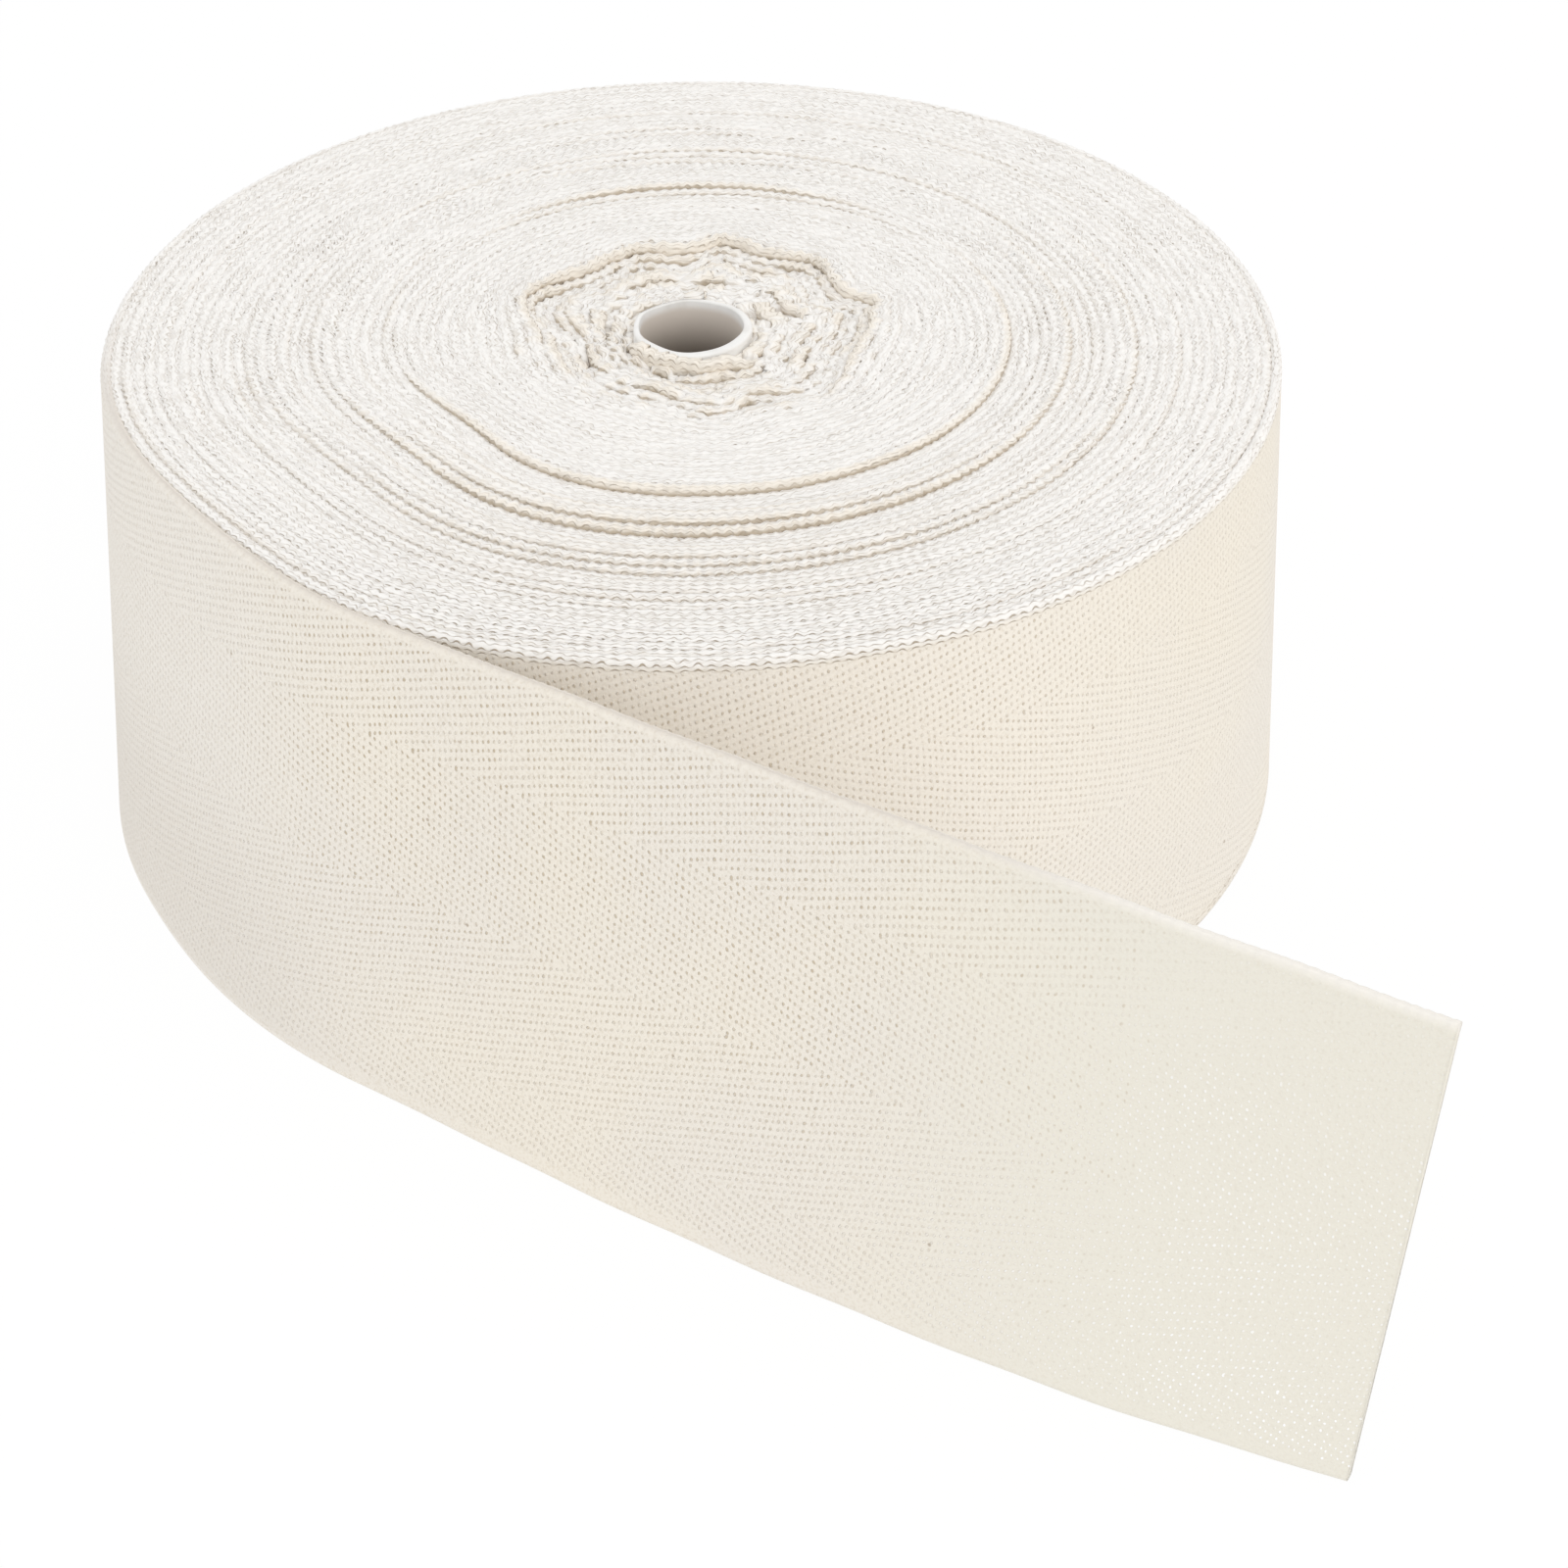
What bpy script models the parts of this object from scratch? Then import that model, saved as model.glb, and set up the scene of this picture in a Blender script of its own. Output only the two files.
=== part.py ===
"""Roll of natural cotton twill tape, wound on a small white tube, with its outer end drawn off.

Metres, +Z up. The roll stands on one face with its axis along +Z. The origin is the middle
of the whole footprint, on the surface that the roll stands on. Azimuths are in degrees,
counter-clockwise seen from above, from +X; the front of the roll is at 270.

The turns were wound a little loose, so the lower edges have slid outwards: the side is a
slightly wider circle at the foot than at the rim, and the upper face steps up and down
where groups of turns have shifted.
"""

import math
from collections import namedtuple

import bmesh
import bpy
import numpy as np

MM = 0.001
COLLECTION = "twill_tape_roll"

# Tape
TAPE_WIDTH = 50.0 * MM
TAPE_THICKNESS = 1.0 * MM
TURN_PITCH = 1.1 * MM
GAP = 0.3 * MM

# Wound roll
RIM_RADIUS = 59.0 * MM
RIM_SLIDE = 0.25 * MM
FOOT_RADIUS = 62.9 * MM
FOOT_SHIFT = (-0.5 * MM, 1.1 * MM)
EDGE_LEVEL = 49.8 * MM
LEAVE_AZIMUTH = 242.3
COVER_AZIMUTH = 150.0
STEP_WIDTH = 0.25
SPOKES = 96
SPOKE_CLEARANCE = 1.0
RIM_PROBE = 0.05
SHARP_ANGLE = 35.0
FLAT_DEPTH = 2.4 * MM
FLAT_AZIMUTH = 219.0
FLAT_SPREAD = 20.0
FLAT_FROM = 18.0 * MM
FLAT_FULL = 30.0 * MM
OUTLINE_FADE = 4
UNDERSIDE_RADII = (44.0 * MM, 24.0 * MM)
SIDE_LEVELS = (0.68, 0.34)
CRUMPLE_LOBES = (4, 5, 6)
CRUMPLE_MAIN = 0.6
CRUMPLE_FINE = 0.4
CRUMPLE_PHASE = 1.9
CRUMPLE_FINE_PHASE = 2.7
CRUMPLE_SIDEWAYS = 0.35 * MM
CRUMPLE_SIDEWAYS_ORDER = 5

# Tube that the tape is wound on
TUBE_RADIUS = 6.0 * MM
TUBE_WALL = 0.9 * MM
TUBE_LENGTH = 50.4 * MM
TUBE_STEPS = 48
TUBE_MERGE = 0.01 * MM
HOLE_RADIUS = TUBE_RADIUS + GAP

# Loose end
LOOSE_LENGTH = 103.0 * MM
ARC_STATIONS = 30
STRAIGHT_STATIONS = 20
STRIPS_ACROSS = 5
CUT_LEAN = 2.5 * MM
FOOT_CLEARANCE = 0.02 * MM

# Star-shaped edge of the crumpled turns round the tube
StarCorner = namedtuple("StarCorner", "azimuth radius")
STAR = (
    StarCorner(8.0, 16.7 * MM),
    StarCorner(32.0, 14.4 * MM),
    StarCorner(52.0, 15.2 * MM),
    StarCorner(84.0, 18.4 * MM),
    StarCorner(97.0, 14.2 * MM),
    StarCorner(112.0, 17.0 * MM),
    StarCorner(138.0, 15.2 * MM),
    StarCorner(163.0, 17.5 * MM),
    StarCorner(190.0, 14.4 * MM),
    StarCorner(223.0, 14.9 * MM),
    StarCorner(252.0, 13.8 * MM),
    StarCorner(282.0, 17.1 * MM),
    StarCorner(304.0, 15.4 * MM),
    StarCorner(320.0, 17.0 * MM),
    StarCorner(345.0, 14.8 * MM),
)
STAR_MEAN = 15.6 * MM

# The upper face from the tube outwards. The heights are in millimetres above EDGE_LEVEL at the
# front, the back and the two sides. A star of 1 follows the star-shaped edge in full, and
# crumple is the height of the uneven folds in millimetres.
Ring = namedtuple("Ring", "name radius front back side star crumple")
UPPER_FACE = (
    Ring("hole", HOLE_RADIUS, -0.3, -0.9, -0.4, 0.0, 0.0),
    Ring("inmost_turn", 7.6 * MM, 0.4, -0.7, -0.2, 0.05, 0.5),
    Ring("fold_one", 9.0 * MM, -0.5, -1.2, -0.7, 0.15, 0.8),
    Ring("fold_two", 10.4 * MM, 0.3, -0.7, -0.2, 0.3, 0.9),
    Ring("fold_three", 11.9 * MM, -0.3, -1.3, -0.6, 0.5, 0.8),
    Ring("fold_four", 13.4 * MM, 0.4, -1.0, -0.2, 0.75, 0.7),
    Ring("star_inside", 15.1 * MM, 0.5, -1.6, -0.3, 1.0, 0.2),
    Ring("star_foot", 15.6 * MM, -0.7, -1.7, -0.7, 1.0, 0.1),
    Ring("star_outside", 16.2 * MM, -0.3, 0.5, 0.1, 1.0, 0.1),
    Ring("inner_zone", 21.0 * MM, -0.1, 0.2, 0.0, 0.25, 0.15),
    Ring("inner_rise", 26.5 * MM, 0.3, 0.0, 0.1, 0.0, 0.1),
    Ring("inner_step_high", 30.8 * MM, 0.9, -0.6, 0.1, 0.0, 0.0),
    Ring("inner_step_foot", 31.4 * MM, -0.5, -0.9, -0.7, 0.0, 0.0),
    Ring("inner_step_out", 32.0 * MM, -0.4, 0.7, 0.0, 0.0, 0.0),
    Ring("middle_zone", 35.0 * MM, 0.2, 0.2, 0.1, 0.0, 0.1),
    Ring("middle_step_high", 38.4 * MM, 0.9, -0.4, 0.2, 0.0, 0.0),
    Ring("middle_step_foot", 39.2 * MM, -0.4, -0.5, -0.4, 0.0, 0.0),
    Ring("middle_step_out", 40.0 * MM, -0.3, 0.6, 0.0, 0.0, 0.0),
    Ring("outer_step_high", 44.0 * MM, 0.7, 0.0, 0.2, 0.0, 0.0),
    Ring("outer_step_foot", 44.9 * MM, -0.4, -0.3, -0.4, 0.0, 0.0),
    Ring("outer_step_out", 45.8 * MM, -0.3, 0.3, 0.0, 0.0, 0.0),
    Ring("outer_zone", 49.0 * MM, 0.1, 0.1, 0.0, 0.0, 0.15),
    Ring("outer_groove", 50.1 * MM, -0.3, -0.2, -0.2, 0.0, 0.0),
    Ring("outer_rise", 51.2 * MM, 0.1, 0.1, 0.1, 0.0, 0.1),
    Ring("near_rim", 54.8 * MM, 0.3, 0.2, 0.2, 0.0, 0.1),
    Ring("last_turns", 57.4 * MM, 0.2, 0.2, 0.1, 0.0, 0.0),
    Ring("rim", RIM_RADIUS, -0.4, 0.0, -0.2, 0.0, 0.0),
)

# How far the foot of the outermost turn stands out from its rim, by the distance along the
# rim from the point where the tape leaves the roll.
Lean = namedtuple("Lean", "along out")
LOOSE_END_LEAN = (
    Lean(-95.0 * MM, 4.7 * MM),
    Lean(-54.0 * MM, 4.1 * MM),
    Lean(-37.0 * MM, 5.8 * MM),
    Lean(-22.0 * MM, 7.3 * MM),
    Lean(0.0 * MM, 7.3 * MM),
    Lean(30.0 * MM, 8.2 * MM),
    Lean(60.0 * MM, 7.6 * MM),
    Lean(80.0 * MM, 6.1 * MM),
    Lean(LOOSE_LENGTH, 2.6 * MM),
)


# Finishes: an sRGB colour from 0 to 1, roughness and the sheen of loose fibres.
Finish = namedtuple("Finish", "name colour roughness sheen")
COTTON = Finish("natural_cotton_twill", (0.945, 0.925, 0.885), 0.9, 0.25)
WHITE_TUBE = Finish("white_tube", (0.93, 0.93, 0.92), 0.55, 0.0)


def linear(channel):
    """The linear value of one sRGB channel from 0 to 1."""
    if channel <= 0.04045:
        return channel / 12.92
    return ((channel + 0.055) / 1.055) ** 2.4


def material(finish):
    """A Principled material with the given finish."""
    made = bpy.data.materials.new(finish.name)
    made.use_nodes = True
    shader = made.node_tree.nodes["Principled BSDF"]
    shader.inputs["Base Color"].default_value = (*map(linear, finish.colour), 1.0)
    shader.inputs["Roughness"].default_value = finish.roughness
    shader.inputs["Metallic"].default_value = 0.0
    shader.inputs["Sheen Weight"].default_value = finish.sheen
    return made


def direction(azimuth):
    """Unit vectors in plan, one row for each azimuth."""
    angle = np.radians(np.asarray(azimuth, float))
    return np.stack([np.cos(angle), np.sin(angle)], axis=-1)


def eased(at, stations, values, period=None):
    """Values between stations, flat at each station and smooth in between."""
    at = np.asarray(at, float)
    stations = np.asarray(stations, float)
    values = np.asarray(values, float)
    if period:
        at = (at - stations[0]) % period + stations[0]
        stations = np.append(stations, stations[0] + period)
        values = np.append(values, values[0])
    at = np.clip(at, stations[0], stations[-1])
    after = np.clip(np.searchsorted(stations, at, side="right"), 1, len(stations) - 1)
    share = (at - stations[after - 1]) / (stations[after] - stations[after - 1])
    share = share * share * (3.0 - 2.0 * share)
    return values[after - 1] + share * (values[after] - values[after - 1])


def curved(at, stations, values):
    """Values on a smooth curve through the stations, with the slope of each one's neighbours."""
    slopes = np.gradient(np.asarray(values, float), np.asarray(stations, float))
    after = np.clip(np.searchsorted(stations, at, side="right"), 1, len(stations) - 1)
    before = after - 1
    low = np.take(values, before)
    high = np.take(values, after)
    span = np.take(stations, after) - np.take(stations, before)
    share = np.clip((at - np.take(stations, before)) / span, 0.0, 1.0)
    bend = share * (1.0 - share) * span
    eased_share = share * share * (3.0 - 2.0 * share)
    ends = bend * ((1.0 - share) * slopes[before] - share * slopes[after])
    return low + (high - low) * eased_share + ends


def turns_left(azimuth):
    """Share of a turn between this azimuth and the one where the tape leaves the roll."""
    return ((LEAVE_AZIMUTH - np.asarray(azimuth, float)) % 360.0) / 360.0


def cover(azimuth):
    """Depth of the seat that the outermost turn lies in, where it is a piece of its own."""
    azimuth = np.asarray(azimuth, float) % 360.0
    covered = (azimuth > COVER_AZIMUTH) & (azimuth <= LEAVE_AZIMUTH)
    return np.where(covered, TAPE_THICKNESS + GAP, 0.0)


def spiral(azimuth):
    """Growth of the last turn of the winding, about its mean."""
    return TURN_PITCH * (0.5 - turns_left(azimuth))


def flattening(azimuth):
    """How far the turns are pressed in where the tape is drawn off."""
    azimuth = np.asarray(azimuth, float)
    return FLAT_DEPTH * np.exp(-(((azimuth % 360.0 - FLAT_AZIMUTH) / FLAT_SPREAD) ** 2))


def outline(azimuth):
    """How far the last turn lies outside the rim's circle: its spiral growth and its slide to +X."""
    return spiral(azimuth) + RIM_SLIDE * direction(azimuth)[..., 0]


def rim_radius(azimuth):
    """Outer radius of the roll at its upper edge."""
    return RIM_RADIUS + outline(azimuth) - flattening(azimuth)


def rim_point(azimuth):
    """Plan points on the upper outer edge."""
    return rim_radius(azimuth)[:, None] * direction(azimuth)


def lean_out(along):
    """How far the foot of the loose end stands out from its rim."""
    return curved(along, [row.along for row in LOOSE_END_LEAN], [row.out for row in LOOSE_END_LEAN])


def along_rim(azimuth):
    """Distance along the rim from the leaving point, below zero on the roll."""
    return np.radians(np.asarray(azimuth, float) - LEAVE_AZIMUTH) * RIM_RADIUS


def foot_point(azimuth):
    """Plan points on the roll's lower outer edge.

    It is a wider circle than the rim that has slid a little. Where the loose end covers the
    roll, the edge also stays inside the foot of that tape."""
    circle = (FOOT_RADIUS + spiral(azimuth))[:, None] * direction(azimuth) + np.array(FOOT_SHIFT)
    radius = np.linalg.norm(circle, axis=1)
    seat = rim_radius(azimuth) + lean_out(along_rim(azimuth))
    covered = cover(azimuth) > 0.0
    radius = np.where(covered, np.minimum(radius, seat) - cover(azimuth), radius)
    return circle * (radius / np.linalg.norm(circle, axis=1))[:, None]


def star_radius(azimuth):
    """Radius of the edge of the crumpled turns."""
    return eased(azimuth, [c.azimuth for c in STAR], [c.radius for c in STAR], 360.0)


def crumple(azimuth, order):
    """Uneven folds of one crumpled turn, between about -1 and 1.

    A few broad lobes with nearly twice as many finer ones on them, turned on for each turn."""
    angle = np.radians(azimuth)
    lobes = CRUMPLE_LOBES[order % len(CRUMPLE_LOBES)]
    broad = CRUMPLE_MAIN * np.sin(lobes * angle + CRUMPLE_PHASE * order)
    return broad + CRUMPLE_FINE * np.sin((2 * lobes - 1) * angle + CRUMPLE_FINE_PHASE * order)


def upper_ring(ring, order, azimuth):
    """Points of one ring of the upper face."""
    grown = outline(azimuth) - cover(azimuth)
    radius = ring.radius + grown * (ring.radius / RIM_RADIUS) ** OUTLINE_FADE
    radius = radius - flattening(azimuth) * eased(ring.radius, (FLAT_FROM, FLAT_FULL), (0.0, 1.0))
    radius = radius + ring.star * (star_radius(azimuth) - STAR_MEAN)
    shifted = crumple(azimuth, order + CRUMPLE_SIDEWAYS_ORDER)
    radius = radius + CRUMPLE_SIDEWAYS * ring.crumple * shifted
    if ring.name == "hole":
        radius = np.full(len(azimuth), HOLE_RADIUS)
    slope = np.sin(np.radians(azimuth))
    height = np.where(slope > 0.0, ring.back, ring.front) * slope**2 + ring.side * (1.0 - slope**2)
    height = height + ring.crumple * crumple(azimuth, order)
    return np.column_stack([radius[:, None] * direction(azimuth), EDGE_LEVEL + height * MM])


def level_ring(plan, height):
    """A ring of plan points at one height or one height each."""
    return np.column_stack([plan, np.broadcast_to(height, len(plan))])


def spoke_azimuths():
    """Even spokes, with a close pair where the seat of the outermost turn begins."""
    even = np.arange(SPOKES) * 360.0 / SPOKES
    near = np.abs(even - COVER_AZIMUTH) < SPOKE_CLEARANCE
    return np.sort(np.concatenate([even[~near], [COVER_AZIMUTH, COVER_AZIMUTH + STEP_WIDTH]]))


def wound_roll_rings():
    """Every ring of the wound roll, from the hole's foot over the face, down the side and back."""
    azimuth = spoke_azimuths()
    around_hole = HOLE_RADIUS * direction(azimuth)
    face = [upper_ring(ring, order, azimuth) for order, ring in enumerate(UPPER_FACE)]
    rim = face[-1]
    foot = foot_point(azimuth)
    side = [
        np.column_stack([foot + share * (rim[:, :2] - foot), share * rim[:, 2]])
        for share in SIDE_LEVELS
    ]
    underside = [level_ring(radius * direction(azimuth), 0.0) for radius in UNDERSIDE_RADII]
    return [level_ring(around_hole, 0.0), *face, *side, level_ring(foot, 0.0), *underside]


def add_object(name, mesh, finish, origin):
    """An object in the roll's collection, parented to the roll's axis."""
    made = bpy.data.objects.new(name, mesh)
    bpy.data.collections[COLLECTION].objects.link(made)
    made.parent = origin
    mesh.materials.append(finish)
    return made


def loft(name, rings):
    """A closed mesh through closed rings of equal count, the last ring joined to the first."""
    shape = bmesh.new()
    loops = [[shape.verts.new(point) for point in ring] for ring in rings]
    count = len(rings[0])
    for near, far in zip(loops, loops[1:] + loops[:1]):
        for i in range(count):
            j = (i + 1) % count
            shape.faces.new((near[i], far[i], far[j], near[j]))
    bmesh.ops.recalc_face_normals(shape, faces=shape.faces)
    mesh = bpy.data.meshes.new(name)
    shape.to_mesh(mesh)
    shape.free()
    mesh.shade_smooth()
    mesh.set_sharp_from_angle(angle=math.radians(SHARP_ANGLE))
    return mesh


def wound_roll(origin, cotton):
    """All turns of tape but the outermost stretch that is drawn off, as one solid."""
    return add_object("wound_roll", loft("wound_roll", wound_roll_rings()), cotton, origin)


def core_tube(origin, white):
    """The tube in the middle, open right through and standing a little proud of the turns."""
    inner = TUBE_RADIUS - TUBE_WALL
    section = [
        (TUBE_RADIUS, 0.0, TUBE_LENGTH),
        (TUBE_RADIUS, 0.0, 0.0),
        (inner, 0.0, 0.0),
        (inner, 0.0, TUBE_LENGTH),
    ]
    mesh = bpy.data.meshes.new("core_tube")
    mesh.from_pydata(section, [(0, 1), (1, 2), (2, 3), (3, 0)], [])
    tube = add_object("core_tube", mesh, white, origin)
    turned = tube.modifiers.new("Turn", "SCREW")
    turned.axis = "Z"
    turned.steps = TUBE_STEPS
    turned.render_steps = TUBE_STEPS
    turned.use_merge_vertices = True
    turned.merge_threshold = TUBE_MERGE
    return tube


def loose_stations():
    """Distances along the rim from the leaving point: on the roll, then out to the cut."""
    start = -math.radians(LEAVE_AZIMUTH - COVER_AZIMUTH) * RIM_RADIUS + 2.0 * GAP
    on_roll = np.linspace(start, 0.0, ARC_STATIONS, endpoint=False)
    return np.concatenate([on_roll, np.linspace(0.0, LOOSE_LENGTH, STRAIGHT_STATIONS)])


def loose_rim(along):
    """Plan points and outward normals of the loose end's upper edge.

    Up to the leaving point it follows the rim, then it runs straight on."""
    azimuth = LEAVE_AZIMUTH + np.degrees(np.minimum(along, 0.0) / RIM_RADIUS)
    heading = rim_point(azimuth) - rim_point(azimuth - RIM_PROBE)
    heading = heading / np.linalg.norm(heading, axis=1)[:, None]
    points = rim_point(azimuth) + np.maximum(along, 0.0)[:, None] * heading
    outward = np.column_stack([heading[:, 1], -heading[:, 0]])
    return points, outward, heading


def loose_end(origin, cotton):
    """The outermost stretch of tape: a quarter turn on the roll, then straight out to its cut end.

    Its outer face is ruled between the two edges of the tape, and Solidify gives the wall."""
    along = loose_stations()
    rim, outward, heading = loose_rim(along)
    lean = lean_out(along)
    drop = CUT_LEAN * np.clip(along / LOOSE_LENGTH, 0.0, 1.0) ** 2
    foot = rim + lean[:, None] * outward - drop[:, None] * heading
    low = TAPE_THICKNESS * lean / TAPE_WIDTH + FOOT_CLEARANCE
    high = low + np.sqrt(TAPE_WIDTH**2 - lean**2)
    bottom = np.column_stack([foot, low])
    top = np.column_stack([rim, high])
    shares = np.linspace(0.0, 1.0, STRIPS_ACROSS + 1)
    grid = bottom[:, None, :] + shares[None, :, None] * (top - bottom)[:, None, :]
    columns = len(shares)
    faces = [
        (a, a + columns, a + columns + 1, a + 1)
        for station in range(len(along) - 1)
        for a in range(station * columns, station * columns + STRIPS_ACROSS)
    ]
    mesh = bpy.data.meshes.new("loose_end")
    mesh.from_pydata(grid.reshape(-1, 3).tolist(), [], faces)
    mesh.shade_smooth()
    tape = add_object("loose_end", mesh, cotton, origin)
    wall = tape.modifiers.new("Wall", "SOLIDIFY")
    wall.thickness = TAPE_THICKNESS
    wall.offset = -1.0
    wall.use_even_offset = True
    return tape


def centre_footprint(origin, parts):
    """Moves the roll's axis so that the middle of the whole footprint is at the world's origin."""
    bpy.context.view_layer.update()
    graph = bpy.context.evaluated_depsgraph_get()
    corners = []
    for part in parts:
        evaluated = part.evaluated_get(graph)
        corners += [evaluated.matrix_world @ vertex.co for vertex in evaluated.data.vertices]
    reach = np.array(corners)
    middle = (reach.min(axis=0) + reach.max(axis=0)) / 2.0
    origin.location = (-middle[0], -middle[1], 0.0)


def main():
    for old in list(bpy.data.objects):
        bpy.data.objects.remove(old, do_unlink=True)
    bpy.context.scene.collection.children.link(bpy.data.collections.new(COLLECTION))
    origin = bpy.data.objects.new("roll_axis", None)
    bpy.data.collections[COLLECTION].objects.link(origin)
    cotton = material(COTTON)
    white = material(WHITE_TUBE)
    parts = [wound_roll(origin, cotton), core_tube(origin, white), loose_end(origin, cotton)]
    centre_footprint(origin, parts)


main()
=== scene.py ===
"""Looks of a roll of natural cotton twill tape that stands on one face with its end drawn off.

Metres, +Z up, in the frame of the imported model. Every turn of the tape is a real strip of its
full width, wound as one long spiral. Azimuths are in degrees, counter-clockwise seen from
above, from +X, about the roll's axis. Turns are counted inwards from the point where the tape
leaves the roll, so they are below zero on the loose end.
"""

import logging
import math
from dataclasses import dataclass
from enum import Enum
from typing import NamedTuple

import bpy
import numpy as np
from numpy.typing import NDArray
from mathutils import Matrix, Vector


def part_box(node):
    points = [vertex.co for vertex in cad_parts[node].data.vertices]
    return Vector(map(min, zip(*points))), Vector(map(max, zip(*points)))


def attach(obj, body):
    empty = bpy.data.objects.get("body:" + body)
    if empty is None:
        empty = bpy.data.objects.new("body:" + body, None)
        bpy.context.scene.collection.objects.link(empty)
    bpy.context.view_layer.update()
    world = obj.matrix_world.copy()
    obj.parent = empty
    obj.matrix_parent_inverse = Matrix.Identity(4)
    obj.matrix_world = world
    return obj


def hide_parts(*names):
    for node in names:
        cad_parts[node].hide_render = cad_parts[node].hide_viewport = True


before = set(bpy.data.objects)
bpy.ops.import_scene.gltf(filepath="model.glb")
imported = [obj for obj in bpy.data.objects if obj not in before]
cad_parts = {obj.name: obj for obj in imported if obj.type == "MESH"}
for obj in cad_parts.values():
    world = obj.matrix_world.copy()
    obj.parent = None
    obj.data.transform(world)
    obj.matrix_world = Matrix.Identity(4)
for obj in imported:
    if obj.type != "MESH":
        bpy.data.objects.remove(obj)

Array = NDArray[np.float64]
Tree = bpy.types.NodeTree
Socket = bpy.types.NodeSocket
Inputs = dict[int | str, object]
Pair = tuple[float, float]
MM = 0.001
TAPE_UV = "tape_mm"
STANDING = "standing_mm"
log = logging.getLogger("twill_tape_roll")


class Slot(Enum):
    """The record's material slots."""

    TAPE = "cotton_tape"
    TUBE = "tube"


# ---------------------------------------------------------------- curves and meshes


def unit(azimuth: Array) -> Array:
    """Unit vectors in plan, one row for each azimuth in degrees."""
    angle = np.radians(azimuth)
    return np.stack([np.cos(angle), np.sin(angle)], axis=-1)


def smoothstep(low: float, high: float, at: Array) -> Array:
    """0 below low, 1 above high, and 3x^2 - 2x^3 of the share in between."""
    share = np.clip((np.asarray(at, float) - low) / (high - low), 0.0, 1.0)
    return share * share * (3.0 - 2.0 * share)


def normalised(rows: Array) -> Array:
    """Each row as a unit vector."""
    return rows / np.linalg.norm(rows, axis=1)[:, None]


class Wave(NamedTuple):
    """One wave round the circle: its height, its count of cycles and how far it is shifted."""

    height: float
    cycles: float
    shift: float


def summed(waves: tuple[Wave, ...], angle: Array, by: Array | float) -> Array:
    """The sum of height * sin(cycles * angle + shift * by) over the waves."""
    return sum(wave.height * np.sin(wave.cycles * angle + wave.shift * by) for wave in waves)


def eased_round(azimuth: Array, stations: list[float], values: list[float]) -> Array:
    """Values round a full circle, flat at each station and eased in between.

    Args:
        azimuth: Degrees to read at.
        stations: Rising azimuths of the known values, within one circle.
        values: The known values.

    Returns:
        One value for each azimuth: low + (high - low) * (3x^2 - 2x^3) between stations.
    """
    around = np.append(stations, stations[0] + 360.0)
    known = np.append(values, values[0])
    at = (np.asarray(azimuth, float) - around[0]) % 360.0 + around[0]
    after = np.clip(np.searchsorted(around, at, side="right"), 1, len(around) - 1)
    share = (at - around[after - 1]) / (around[after] - around[after - 1])
    share = share * share * (3.0 - 2.0 * share)
    return known[after - 1] + share * (known[after] - known[after - 1])


def curved(at: Array, stations: list[float], values: list[float]) -> Array:
    """Values on a smooth curve through the stations.

    Args:
        at: Where to read, held at the end values outside the stations.
        stations: Rising places of the known values.
        values: The known values.

    Returns:
        The cubic between two stations whose end slopes are those of the neighbouring chords.
    """
    places = np.asarray(stations, float)
    known = np.asarray(values, float)
    slopes = np.gradient(known, places)
    after = np.clip(np.searchsorted(places, at, side="right"), 1, len(places) - 1)
    before = after - 1
    span = places[after] - places[before]
    share = np.clip((at - places[before]) / span, 0.0, 1.0)
    bend = share * (1.0 - share) * span
    eased_share = share * share * (3.0 - 2.0 * share)
    ends = bend * ((1.0 - share) * slopes[before] - share * slopes[after])
    return known[before] + (known[after] - known[before]) * eased_share + ends


def tube_mesh(name: str, points: Array, uv: Array) -> bpy.types.Mesh:
    """A closed mesh from one ring of points for each station, with flat caps at both ends.

    Args:
        name: Name of the mesh.
        points: (stations, ring, 3) places, each ring in order round the section.
        uv: (stations, ring + 1, 2) map in millimetres, with the first point again at the end.

    Returns:
        The mesh: a quad between neighbours of two rings, and a cap over the first and last ring.
    """
    stations, ring = points.shape[:2]
    along = np.arange(stations - 1)[:, None] * ring
    here = np.arange(ring)[None, :]
    beyond = (here + 1) % ring
    corners = [along + here, along + beyond, along + ring + beyond, along + ring + here]
    quads = np.stack(corners, axis=-1).reshape(-1)
    last = (stations - 1) * ring
    caps = np.concatenate([np.arange(ring)[::-1], last + np.arange(ring)])
    quad_uv = np.stack([uv[:-1, :-1], uv[:-1, 1:], uv[1:, 1:], uv[1:, :-1]], axis=2).reshape(-1, 2)
    cap_uv = np.concatenate([uv[0, :-1][::-1], uv[-1, :-1]])
    starts = np.arange((stations - 1) * ring) * 4
    starts = np.concatenate([starts, [len(quads), len(quads) + ring]])
    mesh = bpy.data.meshes.new(name)
    mesh.vertices.add(stations * ring)
    mesh.vertices.foreach_set("co", points.reshape(-1).astype(np.float32))
    mesh.loops.add(len(quads) + len(caps))
    mesh.loops.foreach_set("vertex_index", np.concatenate([quads, caps]).astype(np.int32))
    mesh.polygons.add(len(starts))
    mesh.polygons.foreach_set("loop_start", starts.astype(np.int32))
    mesh.update(calc_edges=True)
    layer = mesh.uv_layers.new(name=TAPE_UV)
    layer.data.foreach_set("uv", np.concatenate([quad_uv, cap_uv]).reshape(-1).astype(np.float32))
    mesh.shade_smooth()
    mesh.validate()
    return mesh


def add_piece(name: str, mesh: bpy.types.Mesh, finish: bpy.types.Material) -> bpy.types.Object:
    """A new object at the origin with one finish, linked to the scene.

    Args:
        name: Name of the object.
        mesh: Its mesh, in the frame of the model.
        finish: Its only material.

    Returns:
        The object.
    """
    piece = bpy.data.objects.new(name, mesh)
    bpy.context.scene.collection.objects.link(piece)
    mesh.materials.append(finish)
    return piece


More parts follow.
